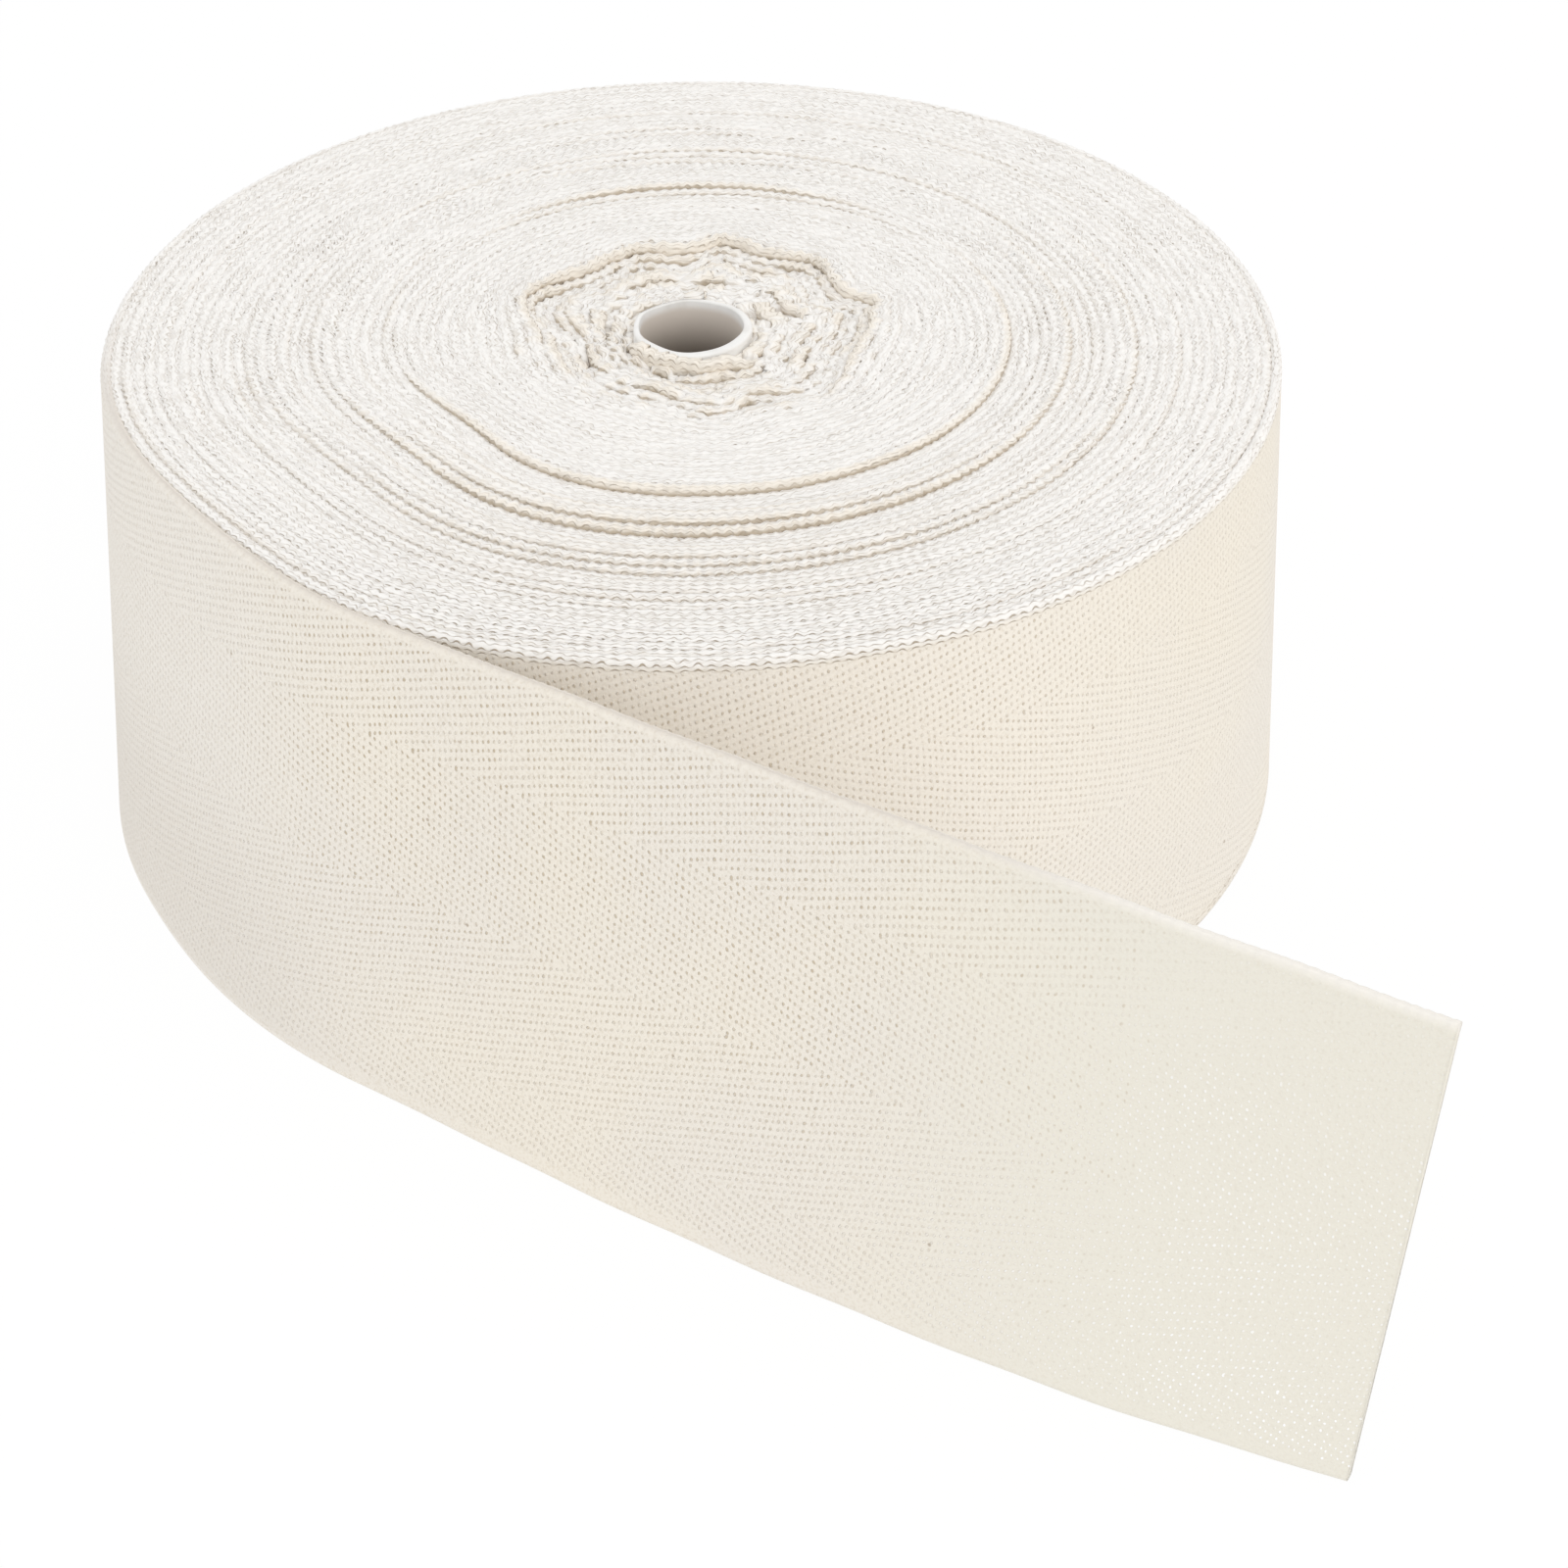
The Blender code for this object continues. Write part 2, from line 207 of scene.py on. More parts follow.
# ---------------------------------------------------------------- finishes


def linear(colour: str) -> tuple[float, float, float, float]:
    """The linear value of an sRGB colour.

    Args:
        colour: The colour as hex, such as #F4F1ED.

    Returns:
        Red, green, blue and a full alpha.
    """
    channels = [int(colour[i : i + 2], 16) / 255.0 for i in (1, 3, 5)]
    bent = [c / 12.92 if c <= 0.04045 else ((c + 0.055) / 1.055) ** 2.4 for c in channels]
    return (bent[0], bent[1], bent[2], 1.0)


def add(tree: Tree, kind: str, inputs: Inputs, output: int | str = 0, **settings: object) -> Socket:
    """Adds one shader node with its settings, held values and links.

    Args:
        tree: The node tree that the node joins.
        kind: The node's type, without its ShaderNode prefix.
        inputs: By socket name or number, an output socket to link in or a value to hold.
        output: Name or number of the output to hand back.
        settings: Properties of the node itself.

    Returns:
        The chosen output socket.
    """
    node = tree.nodes.new("ShaderNode" + kind)
    for key, value in settings.items():
        setattr(node, key, value)
    for key, term in inputs.items():
        if isinstance(term, bpy.types.NodeSocket):
            tree.links.new(term, node.inputs[key])
        else:
            node.inputs[key].default_value = term
    return node.outputs[output]


class Ramp(NamedTuple):
    """A value that goes from low at the start to high at the end. The start may lie above the end."""

    start: float
    end: float
    low: float = 0.0
    high: float = 1.0

    @property
    def held(self) -> Inputs:
        """The ramp as the values that the sockets of a Map Range hold."""
        return {1: self.start, 2: self.end, 3: self.low, 4: self.high}


class Streak(NamedTuple):
    """Noise drawn out along the tape: its scales a millimetre, along it and across it."""

    along: float
    across: float
    detail: float


class TapePlaces(NamedTuple):
    """What every pattern of the cotton reads.

    Attributes:
        u: Distance along the tape from the leaving point, in millimetres, below zero on the roll.
        v: Distance up the outer face and on over the upper edge, in millimetres.
        place: Object coordinates, in metres.
        from_crest: Distance on the map from the crest of the upper edge, in millimetres.
        standing: How far the edge stands above the next turn, in millimetres.
        drawn: 0 on the roll and 1 where the tape is drawn off it.
        free: 1 on the free part of the loose end.
        woven_edge: 1 on the woven edges.
    """

    u: Socket
    v: Socket
    place: Socket
    from_crest: Socket
    standing: Socket
    drawn: Socket
    free: Socket
    woven_edge: Socket


def blank_finish(name: str, held: dict[str, object]) -> tuple[bpy.types.Material, bpy.types.Node]:
    """A new material and its shader.

    Args:
        name: Name of the material.
        held: By socket of the shader, a value that is the same all over.

    Returns:
        The material and its Principled shader.
    """
    made = bpy.data.materials.new(name)
    made.use_nodes = True
    shader = made.node_tree.nodes["Principled BSDF"]
    for socket, value in held.items():
        shader.inputs[socket].default_value = value
    return made, shader


@dataclass(frozen=True)
class HerringboneCotton:
    """Unbleached cotton tape, woven as a 3/1 twill whose slant reverses in broad chevron bands.

    The pits where the warp dips under a pick show as rows of small dots of painted shade. The sheen of
    loose fibres softens the faces. The crests of the woven edges are painted whiter than the faces,
    as painted light where they face up, but where an edge stands above its neighbours the shaded
    beige flank of its loops shows.
    """

    name: str = "unbleached_cotton_herringbone_twill"
    roughness: float = 0.92
    specular: float = 0.2
    sheen: float = 0.12
    sheen_roughness: float = 0.6

    # Colours of the faces, in the order in which they lie over one another.
    face: str = "#EDE6D9"
    face_cool: str = "#EAE4DA"
    face_free: str = "#E8E4D8"
    # Painted shade: the left flank, away from the light, is cooler and darker towards its foot.
    face_left_shade: str = "#ECE7DF"
    face_left_foot_shade: str = "#E2DCD3"
    # Painted light: the stretch of the roll under the loose end, lighter where the loose end shades it.
    face_under_painted_light: str = "#F5F0E9"
    # Painted shade in the pits of the weave, also the colour of the grain of fibres.
    pit: str = "#C2B299"
    pinhole: str = "#FFFFFF"

    # Colours of the woven edge: crest, flank, foot of the flank and hollows. Then the husk specks.
    # Painted light: the crest is painted whiter where it faces up.
    edge: str = "#F6F4F1"
    # Painted shade on the crest of the tape as it is drawn off.
    edge_drawn_shade: str = "#D6CEC5"
    edge_free: str = "#EFEBE4"
    band: str = "#F4EDE2"
    foot: str = "#B0A088"
    # Painted shade on an edge sunk between its neighbours.
    sunk_shade: str = "#8A7257"
    # Painted shade in the hollows of the woven edge.
    line: str = "#AD9E8A"
    fleck: str = "#8C7458"

    # The weave, in millimetres on the tape's map.
    pick_mm: float = 0.61
    end_mm: float = 0.217
    ends_in_repeat: float = 4.0
    band_mm: float = 15.5
    band_start_mm: float = 23.3
    bow: float = 0.004
    bow_centre_mm: float = 32.0
    yarn: float = 1.5 * MM
    yarn_wander_mm: float = 0.5
    twist: float = 0.5 * MM
    yarn_twist: float = 0.9
    crossing: Ramp = Ramp(1.25, 2.45)
    pit_depth: float = 0.07 * MM

    # The loops of the edge and the rows between them, in millimetres on the map.
    crest_mm: float = 50.5
    loop_mm: float = 1.22
    row_mm: float = 0.62
    row_start_mm: float = 0.8
    row_sway_mm: float = 0.1
    row_wander_mm: float = 0.9
    row_noise: Streak = Streak(0.55, 0.55, 1.0)
    row_hollow: Ramp = Ramp(0.5, 0.98)
    row_side_mm: Ramp = Ramp(0.35, 0.55, 0.7, 1.0)
    row_break: Ramp = Ramp(-0.9, 0.5, 0.35, 1.0)
    drift_noise: Streak = Streak(0.16, 0.9, 3.0)
    drift: Ramp = Ramp(0.38, 0.62, 0.1, 0.8)
    strand_slant: float = 0.07
    strand_noise: Streak = Streak(0.38, 3.2, 2.0)
    strand: Ramp = Ramp(0.5, 0.66, 0.0, 0.27)

    # Stretches of the tape, by the distance along it in millimetres.
    drawn_mm: Ramp = Ramp(-75.0, -35.0)
    free_mm: Ramp = Ramp(46.0, 82.0)
    # Painted light on the stretch under the loose end, and the pits' painted shade faded there.
    painted_light_under_mm: Ramp = Ramp(-285.0, -318.0, 0.0, 0.6)
    first_mm: Ramp = Ramp(-200.0, -260.0, 1.0, 0.7)
    bent_mm: Ramp = Ramp(0.0, 32.0, 1.0, 0.9)

    # Rows of the tape, by the height up it in millimetres.
    # Painted shade towards the foot of the left flank.
    shade_near_foot_mm: Ramp = Ramp(32.0, 8.0)
    # The pits' painted shade fades towards the foot.
    low_mm: Ramp = Ramp(4.0, 30.0, 0.45, 1.0)
    high_mm: Ramp = Ramp(30.0, 46.0, 1.0, 0.25)

    # Reach of the woven edges and of the white crest, by the distance from the crest in millimetres.
    edge_top_mm: Ramp = Ramp(2.1, 1.5)
    edge_foot_mm: Ramp = Ramp(48.5, 49.1)
    crest_reach_mm: Ramp = Ramp(1.8, 0.7)
    edge_less_drawn_mm: float = 0.8
    crest_more_free_mm: float = 0.45

    # Sides of the roll, by place in metres.
    # Painted shade on the left flank, by place along X.
    left: Ramp = Ramp(-22.0 * MM, -46.0 * MM, 0.0, 0.85)
    # The pits' painted shade fades on the flanks of the roll.
    flank: Ramp = Ramp(30.0 * MM, 46.0 * MM, 1.0, 0.28)
    # More painted shade in the edge's hollows towards the front.
    opened: Ramp = Ramp(12.0 * MM, -32.0 * MM, 0.0, 0.95)

    # Edges that stand above or lie below the next turn, in millimetres: the flank, its shaded foot, and
    # painted shade in the hollows and on sunk edges.
    out_mm: Ramp = Ramp(0.07, 0.48, 0.0, 0.9)
    out_foot_mm: Ramp = Ramp(0.25, 0.6, 0.0, 0.78)
    bare_mm: Ramp = Ramp(0.15, 0.7, 0.0, 0.5)
    sunk_shade_mm: Ramp = Ramp(-0.45, -1.1, 0.0, 0.6)

    # Uneven patches, pinholes, fibres and specks. Real fibres, about 0.02 mm thick, are too fine
    # to show, so the grain and the fibres are drawn as coarse as they need to show.
    cloud_edge: Ramp = Ramp(0.35, 0.65)
    patch: float = 30.0 * MM
    uneven_patch: float = 1.3 * MM
    uneven: Ramp = Ramp(0.0, 1.0, 0.35, 1.0)
    free_fade: float = 0.3
    grain_size: float = 0.3 * MM
    grain: Ramp = Ramp(0.48, 0.72, 0.0, 0.28)
    grain_free_fade: float = 0.6
    pinhole_core: Ramp = Ramp(0.45, 0.95)
    pinhole_patch: float = 0.7 * MM
    pinhole_some: Ramp = Ramp(0.36, 0.52)
    pinhole_region: float = 22.0 * MM
    pinhole_share: Ramp = Ramp(0.0, 1.0, 0.6, 1.0)
    speck_cell: float = 3.2 * MM
    speck_rare: float = 0.9
    speck: Ramp = Ramp(0.075, 0.03, 0.0, 0.55)
    relief_free_fade: float = 0.7
    fibre_size: float = 0.35 * MM
    fibre_depth: float = 0.05 * MM

    def build(self) -> bpy.types.Material:
        """The material, on the tape's own map: u along the tape and v across it, in millimetres.

        Returns:
            The material.
        """
        held = {
            "Roughness": self.roughness,
            "Sheen Weight": self.sheen,
            "Sheen Roughness": self.sheen_roughness,
            "Specular IOR Level": self.specular,
        }
        made, shader = blank_finish(self.name, held)
        tree = made.node_tree
        at = self.places(tree)
        pits = self.pits(tree, at)
        dark = self.edge_hollows(tree, at)
        tint = self.edge_colour(tree, at, self.face_colour(tree, at, pits))
        # Painted shade in the edge's hollows, then the husk specks.
        for share, colour in ((dark, self.line), (self.specks(tree, at), self.fleck)):
            tint = add(tree, "Mix", {0: share, 6: tint, 7: linear(colour)}, 2, data_type="RGBA")
        tree.links.new(tint, shader.inputs["Base Color"])
        tree.links.new(self.relief(tree, at, pits, dark), shader.inputs["Normal"])
        return made

    def places(self, tree: Tree) -> TapePlaces:
        """The places on the tape. Its woven edges reach 2 mm down each face, less where drawn.

        Args:
            tree: The material's node tree.

        Returns:
            The places that the patterns read.
        """
        chart = add(tree, "UVMap", {}, uv_map=TAPE_UV)
        u = add(tree, "SeparateXYZ", {0: chart}, 0)
        v = add(tree, "SeparateXYZ", {0: chart}, 1)
        place = add(tree, "TexCoord", {}, "Object")
        standing = add(tree, "Attribute", {}, "Fac", attribute_name=STANDING)
        below = add(tree, "Math", {0: v, 1: self.crest_mm}, operation="SUBTRACT")
        from_crest = add(tree, "Math", {0: below}, operation="ABSOLUTE")
        drawn = add(tree, "MapRange", {0: u} | self.drawn_mm.held, interpolation_type="SMOOTHSTEP")
        free = add(tree, "MapRange", {0: u} | self.free_mm.held, interpolation_type="SMOOTHSTEP")
        reach = {0: drawn, 1: self.edge_less_drawn_mm, 2: from_crest}
        reach = {0: add(tree, "Math", reach, operation="MULTIPLY_ADD")} | self.edge_top_mm.held
        top = add(tree, "MapRange", reach, interpolation_type="SMOOTHSTEP")
        reach = {0: from_crest} | self.edge_foot_mm.held
        foot = add(tree, "MapRange", reach, interpolation_type="SMOOTHSTEP")
        woven_edge = add(tree, "Math", {0: top, 1: foot}, operation="MAXIMUM")
        return TapePlaces(u, v, place, from_crest, standing, drawn, free, woven_edge)

    def pits(self, tree: Tree, at: TapePlaces) -> Socket:
        """1 in each pit of the weave and 0 between, and 0 on the woven edge.

        A pit lies where a whole pick meets a whole twill line. Picks are bowed a little and
        wander with the uneven yarn, and a twill line moves one pick for each end, its slant
        turning with the chevron bands.

        Args:
            tree: The material's node tree.
            at: The places on the tape.

        Returns:
            One value from 0 to 1.
        """
        off_centre = add(tree, "Math", {0: at.v, 1: self.bow_centre_mm}, operation="SUBTRACT")
        square = add(tree, "Math", {0: off_centre, 1: off_centre}, operation="MULTIPLY")
        yarn = add(tree, "TexNoise", {"Vector": at.place, "Scale": 1.0 / self.yarn, "Detail": 1.0})
        uneven = add(tree, "Math", {0: yarn, 1: self.yarn_wander_mm, 2: at.u}, operation="MULTIPLY_ADD")
        bowed = add(tree, "Math", {0: square, 1: self.bow, 2: uneven}, operation="MULTIPLY_ADD")
        picks = add(tree, "Math", {0: bowed, 1: self.pick_mm}, operation="DIVIDE")
        from_band = add(tree, "Math", {0: at.v, 1: self.band_start_mm}, operation="SUBTRACT")
        zigzag = add(tree, "Math", {0: from_band, 1: self.band_mm}, operation="PINGPONG")
        ends = add(tree, "Math", {0: zigzag, 1: self.end_mm}, operation="DIVIDE")
        both = add(tree, "Math", {0: picks, 1: ends}, operation="ADD")
        repeats = add(tree, "Math", {0: both, 1: self.ends_in_repeat}, operation="DIVIDE")
        twist = {"Vector": at.place, "Scale": 1.0 / self.twist, "Detail": 0.0}
        twist = add(tree, "TexNoise", twist)
        meeting = add(tree, "Math", {0: twist, 1: self.yarn_twist}, operation="MULTIPLY")
        for count in (picks, repeats):
            angle = add(tree, "Math", {0: count, 1: 2.0 * math.pi}, operation="MULTIPLY")
            wave = add(tree, "Math", {0: angle}, operation="COSINE")
            meeting = add(tree, "Math", {0: meeting, 1: wave}, operation="ADD")
        pits = add(tree, "MapRange", {0: meeting} | self.crossing.held, interpolation_type="SMOOTHSTEP")
        face = add(tree, "Math", {0: 1.0, 1: at.woven_edge}, operation="SUBTRACT")
        return add(tree, "Math", {0: pits, 1: face}, operation="MULTIPLY")

    def edge_hollows(self, tree: Tree, at: TapePlaces) -> Socket:
        """How much painted shade lies in the hollows of the woven edge on the roll.

        The hollows between its rows of loops come and go over a few millimetres, and are darker
        on an edge that stands out and towards the front. Finer hollows between strands lie among
        them.

        Args:
            tree: The material's node tree.
            at: The places on the tape.

        Returns:
            One value from 0 to 1.
        """
        drift = self.streaks(tree, at.u, at.v, self.drift_noise)
        drift = add(tree, "MapRange", {0: drift} | self.drift.held)
        forward = add(tree, "SeparateXYZ", {0: at.place}, 1)
        for reading, ramp in ((at.standing, self.bare_mm), (forward, self.opened)):
            darker = add(tree, "MapRange", {0: reading} | ramp.held)
            drift = add(tree, "Math", {0: drift, 1: darker}, operation="MAXIMUM")
        dark = add(tree, "Math", {0: self.row_hollows(tree, at), 1: drift}, operation="MULTIPLY")
        dark = add(tree, "Math", {0: dark, 1: self.strand_hollows(tree, at)}, operation="MAXIMUM")
        wound = add(tree, "Math", {0: 1.0, 1: at.drawn}, operation="SUBTRACT")
        for share in (at.woven_edge, wound):
            dark = add(tree, "Math", {0: dark, 1: share}, operation="MULTIPLY")
        return dark

    def row_hollows(self, tree: Tree, at: TapePlaces) -> Socket:
        """1 in the thin wavy hollows that run along the woven edge, between its rows of loops.

        The rows sway once a loop. The hollow on the crest itself is only faint.

        Args:
            tree: The material's node tree.
            at: The places on the tape.

        Returns:
            One value from 0 to 1.
        """
        loops = add(tree, "Math", {0: at.u, 1: 2.0 * math.pi / self.loop_mm}, operation="MULTIPLY")
        wave = add(tree, "Math", {0: loops}, operation="COSINE")
        row = add(tree, "Math", {0: at.from_crest, 1: self.row_start_mm}, operation="SUBTRACT")
        noise = self.streaks(tree, at.u, at.from_crest, self.row_noise)
        for moved, by in ((wave, self.row_sway_mm), (noise, self.row_wander_mm)):
            row = add(tree, "Math", {0: moved, 1: by, 2: row}, operation="MULTIPLY_ADD")
        angle = add(tree, "Math", {0: row, 1: 2.0 * math.pi / self.row_mm}, operation="MULTIPLY")
        rows = {0: add(tree, "Math", {0: angle}, operation="COSINE")}
        hollow = add(tree, "MapRange", rows | self.row_hollow.held, interpolation_type="SMOOTHSTEP")
        for reading, ramp in ((at.from_crest, self.row_side_mm), (wave, self.row_break)):
            share = add(tree, "MapRange", {0: reading} | ramp.held)
            hollow = add(tree, "Math", {0: hollow, 1: share}, operation="MULTIPLY")
        return hollow

    def strand_hollows(self, tree: Tree, at: TapePlaces) -> Socket:
        """Painted shade in the fine hollows between drawn-out yarns, each two or three millimetres long.

        The yarns run along the edge at a slant and sway with its loops.

        Args:
            tree: The material's node tree.
            at: The places on the tape.

        Returns:
            One value from 0 to 1.
        """
        loops = add(tree, "Math", {0: at.u, 1: 2.0 * math.pi / self.loop_mm}, operation="MULTIPLY")
        wave = add(tree, "Math", {0: loops}, operation="SINE")
        across = at.v
        for moved, by in ((wave, self.row_sway_mm), (at.u, self.strand_slant)):
            across = add(tree, "Math", {0: moved, 1: by, 2: across}, operation="MULTIPLY_ADD")
        noise = self.streaks(tree, at.u, across, self.strand_noise)
        return add(tree, "MapRange", {0: noise} | self.strand.held)

    def streaks(self, tree: Tree, along: Socket, across: Socket, streak: Streak) -> Socket:
        """Noise stretched by the streak's scales along the tape and across it.

        Args:
            tree: The material's node tree.
            along: Distance along the tape, in millimetres.
            across: Distance across it, in millimetres.
            streak: Its scales and its detail.

        Returns:
            The noise.
        """
        long = add(tree, "Math", {0: along, 1: streak.along}, operation="MULTIPLY")
        short = add(tree, "Math", {0: across, 1: streak.across}, operation="MULTIPLY")
        stretched = add(tree, "CombineXYZ", {0: long, 1: short})
        return add(tree, "TexNoise", {"Vector": stretched, "Scale": 1.0, "Detail": streak.detail})

    def cloud(self, tree: Tree, place: Socket, size: float) -> Socket:
        """Soft patches of the given size in metres, from 0 to 1."""
        noise = {0: add(tree, "TexNoise", {"Vector": place, "Scale": 1.0 / size, "Detail": 2.0})}
        return add(tree, "MapRange", noise | self.cloud_edge.held, interpolation_type="SMOOTHSTEP")

    def face_colour(self, tree: Tree, at: TapePlaces, pits: Socket) -> Socket:
        """Colour of the faces: warm and cooler stretches, shaded pits, and pinholes on the free part.

        Painted shade makes the left flank cooler and darker towards its foot and darkens the pits, and
        painted light lightens the stretch under the loose end.

        Args:
            tree: The material's node tree.
            at: The places on the tape.
            pits: 1 in each pit of the weave.

        Returns:
            The colour.
        """
        sideways = add(tree, "SeparateXYZ", {0: at.place}, 0)
        shares = []
        for reading, ramp in ((sideways, self.left), (at.v, self.shade_near_foot_mm), (at.u, self.painted_light_under_mm)):
            ramped = {0: reading} | ramp.held
            shares.append(add(tree, "MapRange", ramped, interpolation_type="SMOOTHSTEP"))
        left, shade_near_foot, under = shares
        left_foot_shade = add(tree, "Math", {0: left, 1: shade_near_foot}, operation="MULTIPLY")
        layers = (
            (self.cloud(tree, at.place, self.patch), self.face_cool),
            (at.free, self.face_free),
            # Painted shade on the left flank and towards its foot.
            (left, self.face_left_shade),
            (left_foot_shade, self.face_left_foot_shade),
            # Painted light under the loose end.
            (under, self.face_under_painted_light),
            # Painted shade in the pits, and the grain of fibres.
            (self.shading(tree, at, pits, sideways), self.pit),
            (self.pinholes(tree, at, pits), self.pinhole),
        )
        tint = linear(self.face)
        for share, colour in layers:
            tint = add(tree, "Mix", {0: share, 6: tint, 7: linear(colour)}, 2, data_type="RGBA")
        return tint

    def shading(self, tree: Tree, at: TapePlaces, pits: Socket, sideways: Socket) -> Socket:
        """How far the faces are shaded by pits, or by the grain of fibres where that is more.

        The pits' painted shade is fainter on the flanks of the roll, towards its foot, under the loose
        end and along it.

        Args:
            tree: The material's node tree.
            at: The places on the tape.
            pits: 1 in each pit of the weave.
            sideways: Place along X, in metres.

        Returns:
            One value from 0 to 1.
        """
        across = add(tree, "Math", {0: sideways}, operation="ABSOLUTE")
        flank = add(tree, "MapRange", {0: across} | self.flank.held, interpolation_type="SMOOTHSTEP")
        bent = add(tree, "MapRange", {0: at.u} | self.bent_mm.held, interpolation_type="SMOOTHSTEP")
        patches = self.cloud(tree, at.place, self.uneven_patch)
        uneven = add(tree, "MapRange", {0: patches} | self.uneven.held)
        low = add(tree, "MapRange", {0: at.v} | self.low_mm.held)
        first = add(tree, "MapRange", {0: at.u} | self.first_mm.held)
        fade = {0: at.free, 1: -self.free_fade, 2: 1.0}
        closed = add(tree, "Math", fade, operation="MULTIPLY_ADD")
        for share in (flank, uneven, low, bent, first, closed):
            pits = add(tree, "Math", {0: pits, 1: share}, operation="MULTIPLY")
        fibres = {"Vector": at.place, "Scale": 1.0 / self.grain_size, "Detail": 2.0}
        grain = add(tree, "MapRange", {0: add(tree, "TexNoise", fibres)} | self.grain.held)
        fade = {0: at.free, 1: -self.grain_free_fade, 2: first}
        smooth = add(tree, "Math", fade, operation="MULTIPLY_ADD")
        grain = add(tree, "Math", {0: grain, 1: smooth}, operation="MULTIPLY")
        return add(tree, "Math", {0: pits, 1: grain}, operation="MAXIMUM")

    def pinholes(self, tree: Tree, at: TapePlaces, pits: Socket) -> Socket:
        """1 in the middle of the pits that light comes through: some of those on the free part.

        Args:
            tree: The material's node tree.
            at: The places on the tape.
            pits: 1 in each pit of the weave.

        Returns:
            One value from 0 to 1.
        """
        noise = {"Vector": at.place, "Scale": 1.0 / self.pinhole_patch, "Detail": 1.0}
        some = {0: add(tree, "TexNoise", noise)} | self.pinhole_some.held
        some = add(tree, "MapRange", some, interpolation_type="SMOOTHSTEP")
        patches = self.cloud(tree, at.place, self.pinhole_region)
        region = add(tree, "MapRange", {0: patches} | self.pinhole_share.held)
        high = add(tree, "MapRange", {0: at.v} | self.high_mm.held)
        core = {0: pits} | self.pinhole_core.held
        holes = add(tree, "MapRange", core, interpolation_type="SMOOTHSTEP")
        for share in (some, at.free, region, high):
            holes = add(tree, "Math", {0: holes, 1: share}, operation="MULTIPLY")
        return holes

    def edge_colour(self, tree: Tree, at: TapePlaces, tint: Socket) -> Socket:
        """The faces' colour, a crest of painted light over it, and beige flanks where an edge stands
        out.

        The flank darkens to a thin shaded line at its foot, where the next turn meets it. An
        edge sunk between its neighbours is painted brown as shade. On the tape as it is drawn off, the
        crest is only a thin line, painted darker as shade.

        Args:
            tree: The material's node tree.
            at: The places on the tape.
            tint: Colour of the faces.

        Returns:
            The colour.
        """
        # The crest's painted light, painted darker as shade on the tape as it is drawn off.
        whiter = linear(self.edge)
        for share, colour in ((at.drawn, self.edge_drawn_shade), (at.free, self.edge_free)):
            whiter = add(tree, "Mix", {0: share, 6: whiter, 7: linear(colour)}, 2, data_type="RGBA")
        taut = {0: at.free, 1: -self.crest_more_free_mm, 2: at.drawn}
        taut = add(tree, "Math", taut, operation="MULTIPLY_ADD")
        narrowed = {0: add(tree, "Math", {0: taut, 1: at.from_crest}, operation="ADD")}
        crest = narrowed | self.crest_reach_mm.held
        crest = add(tree, "MapRange", crest, interpolation_type="SMOOTHSTEP")
        tint = add(tree, "Mix", {0: crest, 6: tint, 7: whiter}, 2, data_type="RGBA")
        out = add(tree, "MapRange", {0: at.standing} | self.out_mm.held)
        out = add(tree, "Math", {0: out, 1: at.woven_edge}, operation="MULTIPLY")
        above = {0: add(tree, "Math", {0: at.from_crest, 1: at.standing}, operation="SUBTRACT")}
        foot = add(tree, "MapRange", above | self.out_foot_mm.held, interpolation_type="SMOOTHSTEP")
        foot = add(tree, "Math", {0: foot, 1: out}, operation="MULTIPLY")
        # Painted shade: an edge sunk between its neighbours is painted brown.
        sunk = add(tree, "MapRange", {0: at.standing} | self.sunk_shade_mm.held)
        for share, colour in ((out, self.band), (foot, self.foot), (sunk, self.sunk_shade)):
            tint = add(tree, "Mix", {0: share, 6: tint, 7: linear(colour)}, 2, data_type="RGBA")
        return tint

    def specks(self, tree: Tree, at: TapePlaces) -> Socket:
        """Sparse specks of seed husk, about 0.3 mm across, in one cell out of many.

        Args:
            tree: The material's node tree.
            at: The places on the tape.

        Returns:
            One value from 0 to 1.
        """
        cells = {"Vector": at.place, "Scale": 1.0 / self.speck_cell}
        chosen = add(tree, "SeparateColor", {0: add(tree, "TexVoronoi", cells, "Color")}, 0)
        rare = add(tree, "Math", {0: chosen, 1: self.speck_rare}, operation="GREATER_THAN")
        away = {0: add(tree, "TexVoronoi", cells, "Distance")}
        spot = add(tree, "MapRange", away | self.speck.held, interpolation_type="SMOOTHSTEP")
        return add(tree, "Math", {0: rare, 1: spot}, operation="MULTIPLY")

    def relief(self, tree: Tree, at: TapePlaces, pits: Socket, dark: Socket) -> Socket:
        """The bumped normal: pits and the edge's hollows pressed in, over the roughness of fibres.

        Args:
            tree: The material's node tree.
            at: The places on the tape.
            pits: 1 in each pit of the weave.
            dark: How dark the edge's hollows are.

        Returns:
            The normal.
        """
        fade = {0: at.free, 1: -self.relief_free_fade, 2: 1.0}
        closed = add(tree, "Math", fade, operation="MULTIPLY_ADD")
        hollows = add(tree, "Math", {0: pits, 1: closed}, operation="MULTIPLY")
        hollows = add(tree, "Math", {0: hollows, 1: dark}, operation="MAXIMUM")
        fibres = {"Vector": at.place, "Scale": 1.0 / self.fibre_size, "Detail": 3.0}
        rough = {"Height": add(tree, "TexNoise", fibres), "Distance": self.fibre_depth, "Strength": 1.0}
        fine = add(tree, "Bump", rough)
        raised = add(tree, "Math", {0: 1.0, 1: hollows}, operation="SUBTRACT")
        woven = {"Height": raised, "Normal": fine, "Distance": self.pit_depth, "Strength": 1.0}
        return add(tree, "Bump", woven)


